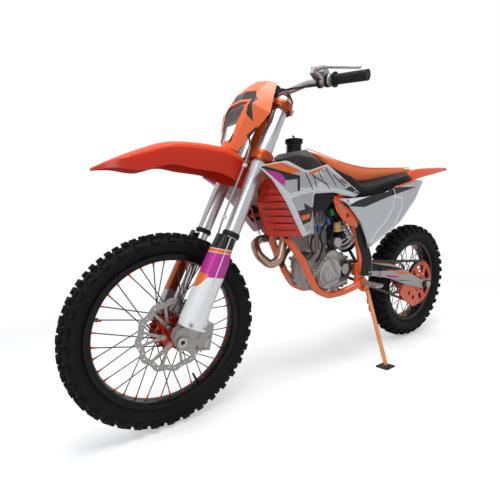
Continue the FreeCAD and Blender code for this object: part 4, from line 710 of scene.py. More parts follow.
# Chain and front sprocket. Dark oiled roller chain of 15.9 mm pitch, drawn round both sprockets:
# outer and inner plates alternate on their rollers.
chain_y, pitch = 80, 15.875
drive_centre, drive_radius = Vector((648.6, 487.3)), 33.17
driven_centre, driven_radius = Vector((0, rear_radius)), 126.41
reach = driven_centre - drive_centre
run = reach.normalized()
rise = Vector((-run.y, run.x))
slope = math.asin((driven_radius - drive_radius) / reach.length)
top_side, low_side = (rise * (hand * math.cos(slope)) - run * math.sin(slope) for hand in (1, -1))


def arc(centre, radius, begin, end, steps):
    sweep_angle = (end - begin) % math.tau
    turns = [begin + sweep_angle * step / steps for step in range(steps + 1)]
    return [centre + Vector((math.cos(turn), math.sin(turn))) * radius for turn in turns]


begin, end = (math.atan2(side.y, side.x) for side in (top_side, low_side))
loop = [drive_centre + top_side * drive_radius] + arc(driven_centre, driven_radius, begin, end, 48)
loop += arc(drive_centre, drive_radius, end, begin, 16)
lengths = [0.0]
for a, b in zip(loop, loop[1:]):
    lengths.append(lengths[-1] + (b - a).length)
links = round(lengths[-1] / pitch / 2) * 2
rollers, stretch = [], 0
for link in range(links):
    reached = lengths[-1] * link / links
    while lengths[stretch + 1] < reached:
        stretch += 1
    share = (reached - lengths[stretch]) / (lengths[stretch + 1] - lengths[stretch])
    rollers.append(loop[stretch].lerp(loop[stretch + 1], share))
half_link = [(1, 0), (0.88, 0.72), (0.55, 1), (0, 0.80), (-0.55, 1), (-0.88, 0.72)]
link_shape = half_link + [(-ahead, -wide) for ahead, wide in half_link]
roller = spun([(-8, 0), (-8, 2.6), (-4, 2.6), (-4, 4.8), (4, 4.8), (4, 2.6), (8, 2.6), (8, 0)], 10)
chain_parts = []
for link, (a, b) in enumerate(zip(rollers, rollers[1:] + rollers[:1])):
    line, middle = (b - a).normalized(), (a + b) / 2
    long, high = line * (pitch / 2 + 5.8), Vector((-line.y, line.x)) * 6.8
    shape = [tuple(middle + long * ahead + high * wide) for ahead, wide in link_shape]
    level = 6.6 if link % 2 else 4.5
    chain_parts += [slab([shape], y - 0.9, y + 0.9) for y in (chain_y - level, chain_y + level)]
    chain_parts.append(moved(roller, Matrix.Translation((a.x, chain_y, a.y))))
chain_steel = finish("oiled_chain_steel", (0.085, 0.078, 0.068), 0.34, metal=0.9, grain=300)
piece("roller_chain", chain_parts, chain_steel, stands_for=("chain",))
restyle(bolt_steel, 0.8, "drive_sprocket")


# Fork. Silver anodised outer tubes slide over bright inner legs that end in cast axle lugs; orange
# screw caps close their tops, and rubber seals their lower ends.
fork_silver = finish(
    "silver_fork_anodise", (0.60, 0.61, 0.63), 0.26, metal=0.9, coat=0.2, grain=1500, depth=20, patch=0.07)
leg_chrome = finish("bright_leg_chrome", (0.58, 0.57, 0.57), 0.14, metal=1.0, grain=1500, depth=10, patch=0.05)
orange_anodise = finish(
    "orange_clamp_anodise", (0.46, 0.070, 0.016), 0.30, metal=0.9, coat=0.1, depth=10, patch=0.10)
fork_half, tube_ahead = 108, 22
restyle(fork_silver, 1.5, "fork_tubes")
restyle(case_cast, 2.5, "fork_legs")
restyle(bolt_steel, 1, "front_axle")
restyle(orange_anodise, 3, "triple_clamps")
foot = (tube_ahead, fork_half, 0)
seal_profile = [(380, 24.3), (380, 30), (386, 31.2), (394, 31.2), (398, 29), (398, 24.3)]
chrome_profile = [(88, 24.2), (88, 24.6), (392, 24.6), (392, 24.2)]
cap_profile = [
    (926, 0), (926, 26.5), (931, 26.5), (934, 23.5), (934.5, 16), (936.5, 15), (936.5, 9), (935, 8), (935, 0),
]
clamp_screws = [screw((tube_ahead + 10, 126, 0), (0.1, 1, 0), 5.5)]
for up in (680.5, 697.5, 890, 902):
    clamp_screws.append(screw((tube_ahead - 38.5, fork_half + 17, up), (-0.55, 0.8, 0), 5.8))
piece("fork_seals", pair(turned(seal_profile, 40, foot, closed=True)), hose_rubber, "fork")
piece("fork_inner_chrome", pair(turned(chrome_profile, 40, foot, closed=True)), leg_chrome, "fork")
piece("fork_caps", pair(turned(cap_profile, 40, foot)), orange_anodise, "fork", bevel=0.4)
piece("clamp_screws", pair(clamp_screws), bolt_steel, "fork")


# Fork guards. Thin white moulded plastic wrapped round the front and outside of each leg and
# screwed to its lug, with printed blocks of black, orange and magenta and an orange edge wedge.
def inside(x, z, corners):
    """A mask that is 1 inside a convex outline in millimetres."""
    corners = [(a * MM, b * MM) for a, b in corners]
    size = sum(xa * zb - xb * za for (xa, za), (xb, zb) in zip(corners, corners[1:] + corners[:1]))
    corners = corners if size > 0 else corners[::-1]
    mask = None
    for (xa, za), (xb, zb) in zip(corners, corners[1:] + corners[:1]):
        edge = (x * (za - zb) + z * (xb - xa)) > (xa * (za - zb) + za * (xb - xa))
        mask = edge if mask is None else mask * edge
    return mask


white = tone(0.70, 0.71, 0.72)
print_black = tone(0.010, 0.010, 0.011)
print_orange = tone(0.80, 0.16, 0.03)
print_magenta = tone(0.50, 0.030, 0.30)


def film_print_and_shade(name, ground, shapes, rough=0.30):
    """Glossy plastic under print film: shapes are (colour, convex x-z outline), painted in turn. On the front fender
    they are a darker red painted shade.
    """
    material, place = blank(name)
    x, _, z = place.axes()
    cloud = place.noise(7, 4)
    colour = cloud.over(tone(*(c * 0.94 for c in ground[:3])), ground)
    for paint, corners in shapes:
        colour = inside(x, z, corners).over(colour, paint)
    return dress(
        material, place.noise(500), 8, colour=colour, rough=cloud * 0.16 + (rough - 0.08),
        coat=0.06, coat_rough=0.12, shine=0.30)


left_guard_print = film_print_and_shade("left_guard_print", tone(0.84, 0.85, 0.87), [
    (print_black, [(-50, 352), (120, 311), (120, 400), (-50, 400)]),
    (print_orange, [(-50, 338), (120, 297), (120, 309), (-50, 350)]),
    (print_magenta, [(-50, 251), (120, 210), (120, 295), (-50, 336)]),
    (print_orange, [(60, 232), (110, 232), (110, 95)]),
    (white, [(36, 400), (41, 400), (41, 200), (36, 200)]),
])
right_guard_print = film_print_and_shade("right_guard_print", tone(0.74, 0.15, 0.03), [
    (print_black, [(-200, 345), (200, 345), (200, 400), (-200, 400)]),
    (white, [(-100, 300), (120, 262), (120, 238), (-100, 272)]),
    (print_black, [(0, 262), (30, 251), (30, 200), (0, 215)]),
    (white, [(-100, 150), (120, 120), (120, 20), (-100, 20)]),
])


def blunt(value, power):
    """A share of -1 to 1 that is drawn out towards its ends."""
    return math.copysign(abs(value) ** power, value)


guard_levels = [
    (376, 37.5, 31), (340, 37, 34.5), (290, 35.5, 41), (240, 34.5, 43), (170, 36, 43), (110, 36.5, 43.5),
    (75, 33, 47.5), (50, 31, 48),
]
rows = []
for up, middle, half_long in smooth_line(guard_levels, 4):
    flank = 34.5 + (376 - up) * 0.018
    row = []
    for step in range(29):
        turn = math.radians(-28 + 218 * step / 28)
        ridge = 2.2 if 13 <= step <= 14 and up > 100 else 0
        outward = fork_half + flank * blunt(math.sin(turn), 0.8) + ridge
        row.append((middle + half_long * blunt(math.cos(turn), 0.8), outward, up))
    rows.append(row)
guard = skinned(rows[::-1], ring=False)
piece("left_fork_guard", guard, left_guard_print, "fork", bevel=0.6, wall=2.6, stands_for=("fork_guards",))
piece("right_fork_guard", flipped(guard), right_guard_print, "fork", bevel=0.6, wall=2.6)
guard_screws = [screw((6, 147.5, 66), (-0.25, 1, 0), 6.2), screw((58, 147.5, 62), (0.25, 1, 0), 6.2)]
piece("guard_screws", pair(guard_screws), bolt_steel, "fork")


# Front fender. Orange gloss plastic, hung under the lower clamp: a raised spine with a channel on
# each side, creased shoulders and deep turned-down edges, whose lower flanks carry a darker red painted shade.
steering_foot = Vector((1435.6, 0, 323.8))
fork_rise = Vector((-0.43994, 0, 0.89803))
fork_front = Vector((0.89803, 0, 0.43994))
fork_length = 925
fender_stations = [
    (0.7258, -0.020, 0.72, 0.70), (0.7258, 0.033, 0.79, 0.80), (0.742, 0.110, 0.87, 1.15),
    (0.717, 0.188, 0.95, 1.00), (0.6705, 0.2856, 1.00, 0.91), (0.6238, 0.359, 1.00, 0.74),
    (0.5585, 0.4234, 0.89, 0.67), (0.4865, 0.4844, 0.59, 0.28), (0.428, 0.528, 0.08, 0.05),
]
spine, spread = [], []
for up, ahead, width, drop in fender_stations:
    spine.append(steering_foot + fork_rise * (up * fork_length) + fork_front * (ahead * fork_length))
    spread.append((width, drop))
stations = list(zip(smooth_line(spine, 7), smooth_line(spread, 7)))
rows = []
for index, (top, size) in enumerate(stations):
    share = index / (len(stations) - 1)
    channel = 0.075 * max(0, min(1, (0.62 - share) * 5))
    half = [
        (0, 0), (0.20, 0), (0.28, 0.01), (0.33, channel + 0.02), (0.47, channel + 0.03), (0.54, 0.05),
        (0.74, 0.10), (0.88, 0.19), (0.93, 0.30), (0.965, 0.62), (1.0, 1.0),
    ]
    profile = [(-a, b) for a, b in reversed(half[1:])] + half
    rows.append([top + Vector((0, 76 * size.x * a, -100 * size.y * b)) for a, b in profile])
# Flank quads paint a darker red below each shoulder crease: painted shade on the turned-down sides.
flank = []
for (near, near_size), (far, far_size) in zip(stations[::4], stations[4::4]):
    sides = ((near.x - 0.5, near.z, near_size.y), (far.x + 0.5, far.z, far_size.y))
    upper, lower = ([(x, z - depth * drop) for x, z, drop in sides] for depth in (28, 170))
    flank.append((tone(0.52, 0.021, 0.005), upper + lower[::-1]))
fender_orange_with_painted_shade = film_print_and_shade("front_fender_orange", tone(0.78, 0.064, 0.009), flank, 0.26)
piece(
    "front_fender_shell", skinned(rows, ring=False), fender_orange_with_painted_shade, "fork", bike,
    bevel=0.6, wall=2.8, sharp=20, stands_for=("front_fender",))


# Lamp mask and headlamp. A faceted orange shell with a dark printed band over its window and a black
# patch of painted shade low on each side; behind the clear lens the bowl is black above and bright below,
# round a projector ring, and its lower reflector and bulb carry a painted glow.
mask_levels = [
    (966.6, 96.2, 74, 104), (911.1, 122.1, 74, 116), (837.1, 133.2, 69.4, 132), (772.4, 129.5, 78.6, 96),
    (684.5, 109.2, 88.8, 46),
]
window_top, window_foot, bulge = (851, 76), (707.6, 34), 20


def at_level(table, level):
    """The values at a level, read between the rows of a table that runs downwards."""
    for upper, lower in zip(table, table[1:]):
        if level >= lower[0]:
            share = (upper[0] - level) / (upper[0] - lower[0])
            return [a + (b - a) * share for a, b in zip(upper[1:], lower[1:])]


def mask_point(up, y):
    """A place on the mask's front, which is flat in the middle and falls back to its sides."""
    front, rear, half = at_level(mask_levels, up)
    far = abs(y) / half
    if far <= 0.8:
        return Vector((front + bulge * min(1, (0.8 - far) / 0.5), y, up))
    return Vector((front + (rear - front) * (far - 0.8) / 0.2, y, up))


rows = []
for up in (966.6, 935, 911.1, 875, 851, 837.1, 800, 772.4, 735, 707.6, 684.5):
    half = at_level(mask_levels, up)[2]
    share = max(0, min(1, (window_top[0] - up) / (window_top[0] - window_foot[0])))
    opening_half = window_top[1] + (window_foot[1] - window_top[1]) * share
    reach = [0, half * 0.15, half * 0.3, opening_half, half * 0.8, half * 0.97, half]
    rows.append([mask_point(up, y) for y in [-y for y in reversed(reach[1:])] + reach])
mask_points, mask_faces = skinned(rows, ring=False)
columns = len(rows[0])


def in_window(corner):
    return 4 <= corner // columns <= 9 and 3 <= corner % columns <= columns - 4


mask_shell = mask_points, [face for face in mask_faces if not all(in_window(corner) for corner in face)]
material, place = blank("lamp_mask_orange")
_, y, z = place.axes()
band = inside(abs(y), z, [(-10, 862), (-10, 902), (80, 902), (104, 866), (88, 862)])
legs = inside(abs(y), z, [(86, 868), (105, 868), (104, 838), (96, 790), (84, 806)])
chip = inside(y, z, [(-78, 872), (-26, 872), (-31, 886), (-72, 886)])
# Black patch low on each side of the mask: painted shade drawn as an opening on the closed shell.
painted_opening_shade = inside(abs(y), z, [(74, 742), (99, 782), (97, 700), (78, 714)])
cloud = place.noise(8, 3)
colour = cloud.over(tone(0.92, 0.16, 0.036), tone(1.0, 0.20, 0.052))
colour = band.math("MAXIMUM", legs).over(colour, tone(0.012, 0.012, 0.013))
colour = painted_opening_shade.over(chip.over(colour, print_orange), tone(0.010, 0.010, 0.010))
mask_print = dress(material, place.noise(500), 8, colour=colour, rough=cloud * 0.12 + 0.26, coat=0.2)
piece("lamp_mask_shell", mask_shell, mask_print, "fork", bevel=1, wall=-3.6, sharp=12, stands_for=("lamp_mask",))


def lamp_ring(up_low, up_high, half_low, half_high, ahead, steps=4):
    """A lamp-shaped section at a distance ahead, from its two levels."""
    low = [(ahead, half_low * (1 - 2 * i / steps), up_low) for i in range(steps + 1)]
    high = [(ahead, -half_high * (1 - 2 * i / steps), up_high) for i in range(steps + 1)]
    return low + high


# Reflector and bulb glow white by emission: a painted glow that stands in for the reflector's bright reflection.
bright = finish(
    "lamp_reflector", (0.75, 0.76, 0.78), 0.06, metal=1.0, grain=90, depth=300, patch=0.04,
    glow=0.40, glow_colour=tone(1, 1, 1))
lamp_black = finish("lamp_housing_black", (0.012, 0.012, 0.014), 0.22, coat=0.4)
clear = finish("clear_lens", (0.9, 0.92, 0.94), 0.12, coat=1.0, grain=60, depth=0, alpha=0.07)
housing = skinned([lamp_ring(709, 849.5, 33, 74.5, ahead) for ahead in (131, 115, 90, 73.5)])
back = skinned([lamp_ring(712, 846, 32, 73, 77), lamp_ring(750, 820, 14, 30, 75.5)], ends=True)
piece("lamp_housing", [housing, back], lamp_black, "fork", stands_for=("headlamp",))
low_bowl = []
for share in (0.0, 0.2, 0.4, 0.6, 0.8, 1.0):
    width, ahead = 1 - share * 0.35, 124 - 36 * math.sin(share * math.pi / 2)
    low_bowl.append(lamp_ring(714 + 16 * share, 790 - 14 * share, 32.5 * width, 54 * width, ahead, 8))
piece("lamp_low_reflector", skinned(low_bowl), bright, "fork")
projector_profile = [(0, 0), (0, 16.5), (10, 21.5), (14, 21.5), (14, 18), (16, 12), (17.5, 0)]
projector = turned(projector_profile, 32, (100, 0, 818), forward)
bezel = skinned([lamp_ring(789, 796, 55, 57.5, ahead) for ahead in (128, 95)], ends=True)
piece("lamp_projector_and_bar", [projector, bezel], lamp_black, "fork", bevel=0.5)
bulb = turned([(0, 0), (0, 6), (12, 5.5), (16, 3), (17, 0)], 20, (94, 0, 752), forward)
piece("lamp_bulb", bulb, bright, "fork")
lens_rows = []
for level in range(9):
    up, half = 850.3 - 142 * level / 8, 75.2 - 41.7 * level / 8
    lens_rows.append([mask_point(up, half * (1 - column / 5)) - forward * 5.2 for column in range(11)])
piece("lamp_lens", skinned(lens_rows, ring=False), clear, "fork", wall=1.8)


# Radiators. Two cores of fine fins between pressed alloy tanks, joined by black hoses to the pump
# and the head; moulded red guards with angled louvres are clipped to their fronts.
def fin_finish(name, direction, pitch, dark, light, rough):
    """Fine fins stacked along a direction, drawn as a bump and as dark stripes; on the radiator these stripes are
    painted shade in the gaps between its fins.
    """
    material, place = blank(name)
    fins = (place.toward(direction) * (math.tau / (pitch * MM))).wave()
    colour = (fins * (place.noise(30, 5) * 0.5 + 0.6)).over(dark, light)
    return dress(material, fins, 1200, colour=colour, rough=rough, metal=0.7)


# Radiator core: its near-black stripes are painted shade in the gaps between the fins.
fin_black = fin_finish("radiator_fins", bike_up, 3.2, tone(0.006, 0.006, 0.007), tone(0.09, 0.09, 0.092), 0.5)
restyle(fin_black, 0, "radiators")
core_low, core_high = Vector((1041.6, 42, 672.2)), Vector((1067.3, 42, 874.4))
core_out = Vector((-0.078, 0.108, 0)).normalized()


def core_block(out_low, out_high, back_low, back_high, low, high):
    """A block on the left core, which reaches outwards, to the rear and in shares of its height."""
    rows = []
    for share in (low, high):
        middle = core_low.lerp(core_high, share)
        near, far = middle + core_out * out_low, middle + core_out * out_high
        rows.append([near - forward * back_low, far - forward * back_low])
        rows[-1] += [far - forward * back_high, near - forward * back_high]
    return skinned(rows, ends=True)


tanks = [core_block(-4, 19, -3, 37, -0.01, 1.01), core_block(115, 136, -3, 37, -0.01, 1.01)]
tanks += [core_block(-5.5, 137, -0.5, 34.5, share - 0.006, share + 0.006) for share in (0.12, 0.37, 0.63, 0.88)]
filler_profile = [(-4, 0), (-4, 17), (10, 17), (12, 21), (20, 21), (22, 17), (22, 0)]
filler = turned(filler_profile, 32, (1046, -52, 880))
piece("radiator_tanks", pair(tanks) + [filler], cover_cast, bevel=3)
hose_routes = [
    (9.5, [(1020, 60, 684), (985, 55, 650), (945, 30, 610), (925, -30, 560), (900, -80, 500), (850, -98, 452)]),
    (9.5, [(1020, -60, 684), (985, -68, 640), (950, -78, 585), (925, -85, 540)]),
    (11, [(886, 8, 740), (925, 20, 748), (968, 40, 765), (1010, 58, 790)]),
    (9.5, [(886, -8, 745), (930, -25, 765), (975, -42, 790), (1014, -58, 815)]),
]
coolant, clips = [], []
for radius, route in hose_routes:
    coolant.append(swept(smooth_line(route, 7), radius, 16))
    for near, far in ((route[0], route[1]), (route[-1], route[-2])):
        along = (Vector(far) - Vector(near)).normalized()
        clips.append(collar(Vector(near) + along * 8, along, 7, radius + 1.2, 20))
piece("coolant_hoses", coolant, hose_rubber)
piece("hose_clips", clips, bolt_steel)
guard_red = finish("red_guard_plastic", (0.60, 0.030, 0.012), 0.34, coat=0.3, grain=900, depth=20)
restyle(guard_red, 1.2, "radiator_guards")
guard_front = [(881.8, 1080.6), (795, 1116.8), (661.4, 1066.1)]
slats = []
for step in range(1, 8):
    rows = []
    for rise, back in ((5, 3), (0, 8.5), (-4.5, 17)):
        level = 661.4 + 27.55 * step + rise
        front = at_level(guard_front, level)[0] - back
        rows.append([(front - 78 * (y - 23) / 127, y, level) for y in (41, 75, 105, 135)])
    slats.append(skinned(rows, ring=False))
piece("guard_louvres", pair(slats), guard_red, wall=1.6)


# Shrouds and side panels. White moulded plastic sheets under printed film in grey, black, orange and
# magenta, with raised edges and creases; each hangs on the tank, radiator and subframe by screws.
def stroke(start, end, width):
    """A thin straight bar between two points as a convex outline."""
    a, b = Vector(start), Vector(end)
    aside = (b - a).normalized().orthogonal() * (width / 2)
    return [tuple(a + aside), tuple(b + aside), tuple(b - aside), tuple(a - aside)]


def strokes(paint, width, line):
    """Painted bars along a broken line."""
    return [(paint, stroke(start, end, width)) for start, end in zip(line, line[1:])]


def near_line(spot, line):
    """Distance from a spot to a broken line."""
    point = Vector(spot)
    reach = []
    for a, b in zip(line, line[1:]):
        a, b = Vector(a), Vector(b)
        share = max(0, min(1, (point - a).dot(b - a) / (b - a).length_squared))
        reach.append((point - a.lerp(b, share)).length)
    return min(reach)


def panel(outline, plan, flare, level, creases, step=9):
    """A curved sheet: plan gives its distance from the middle, creases raise (line, height, width)."""
    rim = eased(outline, 10)
    line = smooth_line(plan, 10)
    lows, highs = ([choose(spot[axis] for spot in rim) for axis in (0, 1)] for choose in (min, max))
    grid = []
    for row in range(int((highs[1] - lows[1]) / step)):
        for column in range(int((highs[0] - lows[0]) / step)):
            spot = (lows[0] + step * (column + 0.5 + 0.5 * (row % 2)), lows[1] + step * (row + 0.5))
            if within(spot, [rim]) and near_line(spot, rim + rim[:1]) > step * 0.45:
                grid.append(spot)
    flat, faces = filled([rim], grid)
    points = []
    for x, z in flat:
        before = max((spot for spot in line if spot.x <= x), key=lambda spot: spot.x, default=line[0])
        after = min((spot for spot in line if spot.x > x), key=lambda spot: spot.x, default=line[-1])
        share = (x - before.x) / max(after.x - before.x, 1e-3)
        y = before.y + (after.y - before.y) * share + flare * (z - level)
        for crease, height, width in creases:
            y += height * max(0, 1 - near_line((x, z), crease) / width)
        points.append(Vector((x, y, z)))
    return points, faces


shroud_outline = [
    (1240, 908), (1194.8, 918.8), (1115.1, 935.1), (1019.8, 908.9), (985.3, 911.9), (879.9, 942), (625.2, 837.9),
    (659.8, 816.2), (820.3, 835), (950.1, 827.1), (955.2, 673.2), (999.7, 662.8), (1105.1, 795), (1178.1, 869),
]
shroud_plan = [(592.9, 124), (704.4, 132), (899.4, 160), (1038.8, 186), (1261.8, 205)]
rim_line = [(1225, 901), (1159, 862), (1096, 806), (994, 680)]
leg_line = [(660, 826), (800, 846), (940, 841), (1030, 826), (1090, 808)]
top_line = [(665, 849), (880, 932), (990, 903), (1115, 926)]
shroud_creases = [(rim_line, 3, 10), (leg_line, 3.6, 9), (top_line, 2.4, 9)]
shroud_sheet = panel(shroud_outline, shroud_plan, 0.10, 802.4, shroud_creases)
film_grey = tone(0.44, 0.445, 0.465)
film_dark = tone(0.011, 0.011, 0.012)
shroud_shapes = [
    (film_grey, [(1228, 903), (1150, 922), (1020, 900), (1040, 840), (1100, 818), (1162, 866)]),
    (film_grey, [
        (1075, 905), (985, 901), (893, 931), (800, 896), (800, 850), (950, 848), (1040, 834), (1100, 816)]),
    (film_grey, [(893, 931), (640, 846), (672, 828), (800, 849), (900, 852)]),
    (film_grey, [(1085, 808), (1030, 822), (958, 832), (960, 765), (1030, 742)]),
    (film_grey, [(960, 700), (964, 681), (990, 678), (1045, 745), (961, 770)]),
    (print_orange, [(1227, 912), (1137, 927), (1035, 904), (1087, 893)]),
    (film_dark, [(1235, 903), (1227, 912), (1087, 893), (1143, 890)]),
    (film_dark, [(1087, 893), (1040, 888), (1057, 876), (1115, 869), (1145, 892)]),
    (print_magenta, [(1220, 900), (1147, 893), (1116, 874), (1118, 850), (1165, 867)]),
    (film_dark, [(1059, 888), (1045, 889), (1038, 836), (1052, 832)]),
    (print_orange, [(1008, 900), (893, 933), (917, 917), (980, 895)]),
    (film_dark, [(742, 849), (680, 872), (606, 842), (640, 832)]),
    (tone(0.20, 0.20, 0.205), [(795, 887), (752, 897), (706, 880), (746, 870)]),
]
for width, line in (
        (6, [(1018, 900), (969, 851), (967, 842)]), (6, [(963, 894), (938, 852)]),
        (5, [(976, 895), (872, 867), (851, 847)]), (5, [(934, 911), (902, 879)]),
        (5, [(892, 929), (805, 862)]), (5, [(836, 903), (742, 862)])):
    shroud_shapes += strokes(film_dark, width, line)
shroud_shapes += [
    (film_dark, [(1052, 760), (945, 778), (957, 722), (1018, 706)]),
    (film_dark, [(1012, 792), (960, 774), (1000, 766)]),
    (print_magenta, [(1052, 760), (1036, 763), (1008, 708), (1018, 706)]),
    (print_orange, [(1020, 744), (968, 752), (966, 735), (1012, 726)]),
]
for width, line in (
        (10, [(985, 676), (1096, 813), (1159, 862)]), (8, [(1159, 862), (1235, 903)]),
        (6, leg_line), (6, shroud_outline[:7])):
    shroud_shapes += strokes(white, width, line)
shroud_film = film_print_and_shade("shroud_film", tone(0.66, 0.67, 0.70), shroud_shapes, 0.32)

panel_plan = [(119.1, 150), (342, 153), (565, 144), (799.1, 138)]
left_outline = [
    (164.8, 906), (217.8, 813.8), (329.8, 703.8), (440.1, 639.2), (556.1, 582), (582.8, 639.2), (624.1, 706.2),
    (723.9, 790.1), (779, 811.8), (699.9, 811.8), (600.1, 819.2), (458, 842.9), (392.2, 871), (240, 907),
]
right_shares = [
    (-0.718, 0.884), (-0.680, 0.830), (-0.450, 0.750), (-0.200, 0.690), (0.020, 0.600), (0.110, 0.580),
    (0.285, 0.649), (0.384, 0.693), (0.242, 0.693), (0.063, 0.708), (-0.192, 0.756), (-0.310, 0.813),
    (-0.583, 0.886),
]
right_outline = [(565 + a * 557.37, 470 + b * 493.2) for a, b in right_shares]
outer_line = [(415, 860), (402, 834), (405, 769), (438, 717), (520, 645), (550, 604)]
inner_line = [(397, 821), (342, 819), (336, 769), (375, 693), (457, 641), (528, 606)]
front_crease = ([(715, 790), (640, 736), (592, 680), (560, 598)], 2.6, 8)
panel_shapes = [
    (tone(0.84, 0.86, 0.88), [(782, 812), (672, 819), (555, 840), (673, 786)]),
    (film_dark, [(716, 778), (666, 800), (509, 840), (434, 824), (605, 774)]),
    (film_dark, [(509, 840), (431, 866), (222, 873), (434, 824)]),
    (print_orange, [(410, 863), (266, 917), (195, 910), (365, 868)]),
]
for line in (outer_line, inner_line):
    panel_shapes += strokes(tone(0.97, 0.97, 0.98), 4, line)
panel_film = film_print_and_shade("side_panel_film", tone(0.54, 0.56, 0.59), panel_shapes)
left_creases = [(outer_line, 4.2, 7.5), (inner_line, 3.6, 6.5), front_crease]
left_sheet = panel(left_outline, panel_plan, 0.06, 765.9, left_creases)
right_sheet = panel(right_outline, panel_plan, 0.06, 765.9, [front_crease])
for name, sheet, film, node in (
        ("left_tank_shroud", shroud_sheet, shroud_film, "left_shroud"),
        ("right_tank_shroud", flipped(shroud_sheet), shroud_film, "right_shroud"),
        ("left_number_panel", left_sheet, panel_film, "left_side_panel"),
        ("right_number_panel", flipped(right_sheet), panel_film, "right_side_panel")):
    piece(name, sheet, film, bevel=0.8, wall=-3.6, sharp=60, stands_for=(node,))
panel_screws = []
for x, y, z, both in (
        (970, 164, 700, True), (905, 174.5, 915, True), (722, 143, 803, True), (668, 132.5, 838, False),
        (556, 136.5, 600, False)):
    head = screw((x, y, z), (0, 1, 0), 6.2)
    panel_screws += pair(head) if both else [head]
piece("panel_screws", panel_screws, bolt_steel)


# Fuel tank. Rough black moulded plastic between the shrouds, with a tall ribbed neck under a finned
# screw cap; a grey grip film with fine dots covers its top.
material, place = blank("tank_plastic")
dotted = place.cells(330) < 0.32
cloud = place.noise(14, 4)
colour = (dotted * (cloud * 0.6 + 0.3)).over(tone(0.040, 0.039, 0.037), tone(0.115, 0.110, 0.100))
restyle(dress(material, dotted, 200, colour=colour, rough=cloud * 0.2 + 0.5), 7, "fuel_tank")
cap_parts = [spun([(46, 0), (46, 34.5), (62, 34.5), (64, 31), (64, 16), (62, 14.5), (62, 0)])]
fin = skinned([[(33, y, -2.4), (37.2, y, -1.9), (37.2, y, 1.9), (33, y, 2.4)] for y in (46, 62.5)], ends=True)
cap_parts += [moved(fin, Matrix.Rotation(math.tau * step / 20, 4, "Y")) for step in range(20)]
for level in (10, 20, 30, 40):
    cap_parts.append(spun([(level, 26), (level, 32.5), (level + 4.5, 32.5), (level + 4.5, 26)], 40, True))
neck_place = axis_at((903.9, 0, 997.7))
piece("tank_cap_and_neck", moved(one(cap_parts), neck_place), black_plastic, bevel=0.6)
stub = smooth_line([(903.9, 0, 1060), (903.9, 0, 1068), (906.5, 0, 1072), (913, 0, 1074)], 4)
piece("tank_vent", swept(stub, 3.4), hose_rubber)


# Seat. One foam pad under stretched orange cover, simulated as a tight cushion, with a stitched
# seam along each upper edge; it sits on a black moulded base that shows as a strip below it.
material, place = blank("seat_cover")
cloud = place.noise(9, 5)
seat_cover = dress(
    material, place.cells(620), 350, colour=cloud.over(tone(0.63, 0.115, 0.022), tone(0.76, 0.155, 0.036)),
    rough=cloud * 0.16 + 0.52, sheen=0.10)
seat_top = [
    (872.1, 1023.9, 0.45), (800.2, 1010.1, 0.62), (699.9, 987.9, 0.86), (601.8, 973.1, 1), (484.7, 967.1, 1),
    (358.2, 972.1, 0.98), (199.9, 981.9, 0.86), (96.2, 989.8, 0.62),
]
seat_low = [
    (877.1, 1016.5), (815.8, 993.8), (721.1, 928.7), (618, 895.1), (531.6, 894.2), (420.1, 908.9),
    (252.9, 929.3), (99, 969.4),
]
seat_side = [
    (1.0, 0.90), (0.86, 0.955), (0.62, 0.985), (0.36, 0.965), (0.17, 0.90), (0.06, 0.76), (0.015, 0.50),
    (0.0, 0.22),
]
seat_round = [(down, -wide) for down, wide in seat_side] + [(0.0, 0.0)] + seat_side[::-1]
stations = list(zip(smooth_line(seat_top), smooth_line(seat_low)))


def seat_spot(station, foot, down, wide, aside, lift):
    """A place on the seat's section, moved outwards, and in its upper half also up."""
    half = 82 * station.z * wide
    across, up = half + math.copysign(aside, half), station.y + (foot.y - station.y) * down
    return Vector((station.x + (foot.x - station.x) * down, across, up + (lift if down < 0.5 else 0)))


rows = [[seat_spot(*station, down, wide, 3.5, -3.5) for down, wide in seat_round] for station in stations]
pad = piece("seat_pad", skinned(rows, ends=True), seat_cover, sharp=180, stands_for=("seat",))
remesh = pad.modifiers.new("remesh", "REMESH")
remesh.mode = "VOXEL"
remesh.voxel_size = 0.006
pad.data = bpy.data.meshes.new_from_object(pad.evaluated_get(bpy.context.evaluated_depsgraph_get()))
pad.modifiers.clear()
before_swell = [vertex.co.copy() for vertex in pad.data.vertices]
cover = pad.modifiers.new("cover", "CLOTH")
cover.settings.use_pressure = True
cover.settings.uniform_pressure_force = 4.0
cover.settings.effector_weights.gravity = 0.0
cover.settings.quality = 5
for frame_number in range(1, 21):
    bpy.context.scene.frame_set(frame_number)
swollen = bpy.data.meshes.new_from_object(pad.evaluated_get(bpy.context.evaluated_depsgraph_get()))
pad.modifiers.clear()
bpy.context.scene.frame_set(1)
most = 0.0045
for vertex, start in zip(swollen.vertices, before_swell):
    shift = vertex.co - start
    vertex.co = start + shift * min(1.0, most / max(shift.length, 1e-9))
pad.data = swollen
swollen.materials.clear()
swollen.materials.append(seat_cover)
swollen.shade_smooth()
smoothed(pad, 1)
seam = [seat_spot(*station, 0.10, 0.85, 0.2, 0.2) for station in stations[1:-1]]
piece("seat_seams", pair(swept(seam, 1.6, 8)), seat_cover)
base_top = [(877, 1005), (762, 954), (665, 917), (575, 888), (500, 896), (421, 910), (297, 935), (180, 950)]
base_low = [(862, 964), (755, 931), (690, 880), (672, 812), (590, 806), (380, 858), (225, 902), (180, 932)]
rows = []
for upper, lower in zip(smooth_line(base_top, 4), smooth_line(base_low, 4)):
    half = 80 - 0.22 * max(0, upper.x - 700)
    skirt = half + 42 * max(0, min(1, (740 - upper.x) / 80, (upper.x - 170) / 80))
    middle = upper.lerp(lower, 0.3)
    rows.append([
        (upper.x, half - 6, upper.y + 4), (upper.x, half + 1, upper.y), (middle.x, skirt, middle.y),
        (lower.x, skirt + 2, lower.y)])
piece("seat_base", pair(skinned(rows, ring=False)), black_plastic, wall=3)


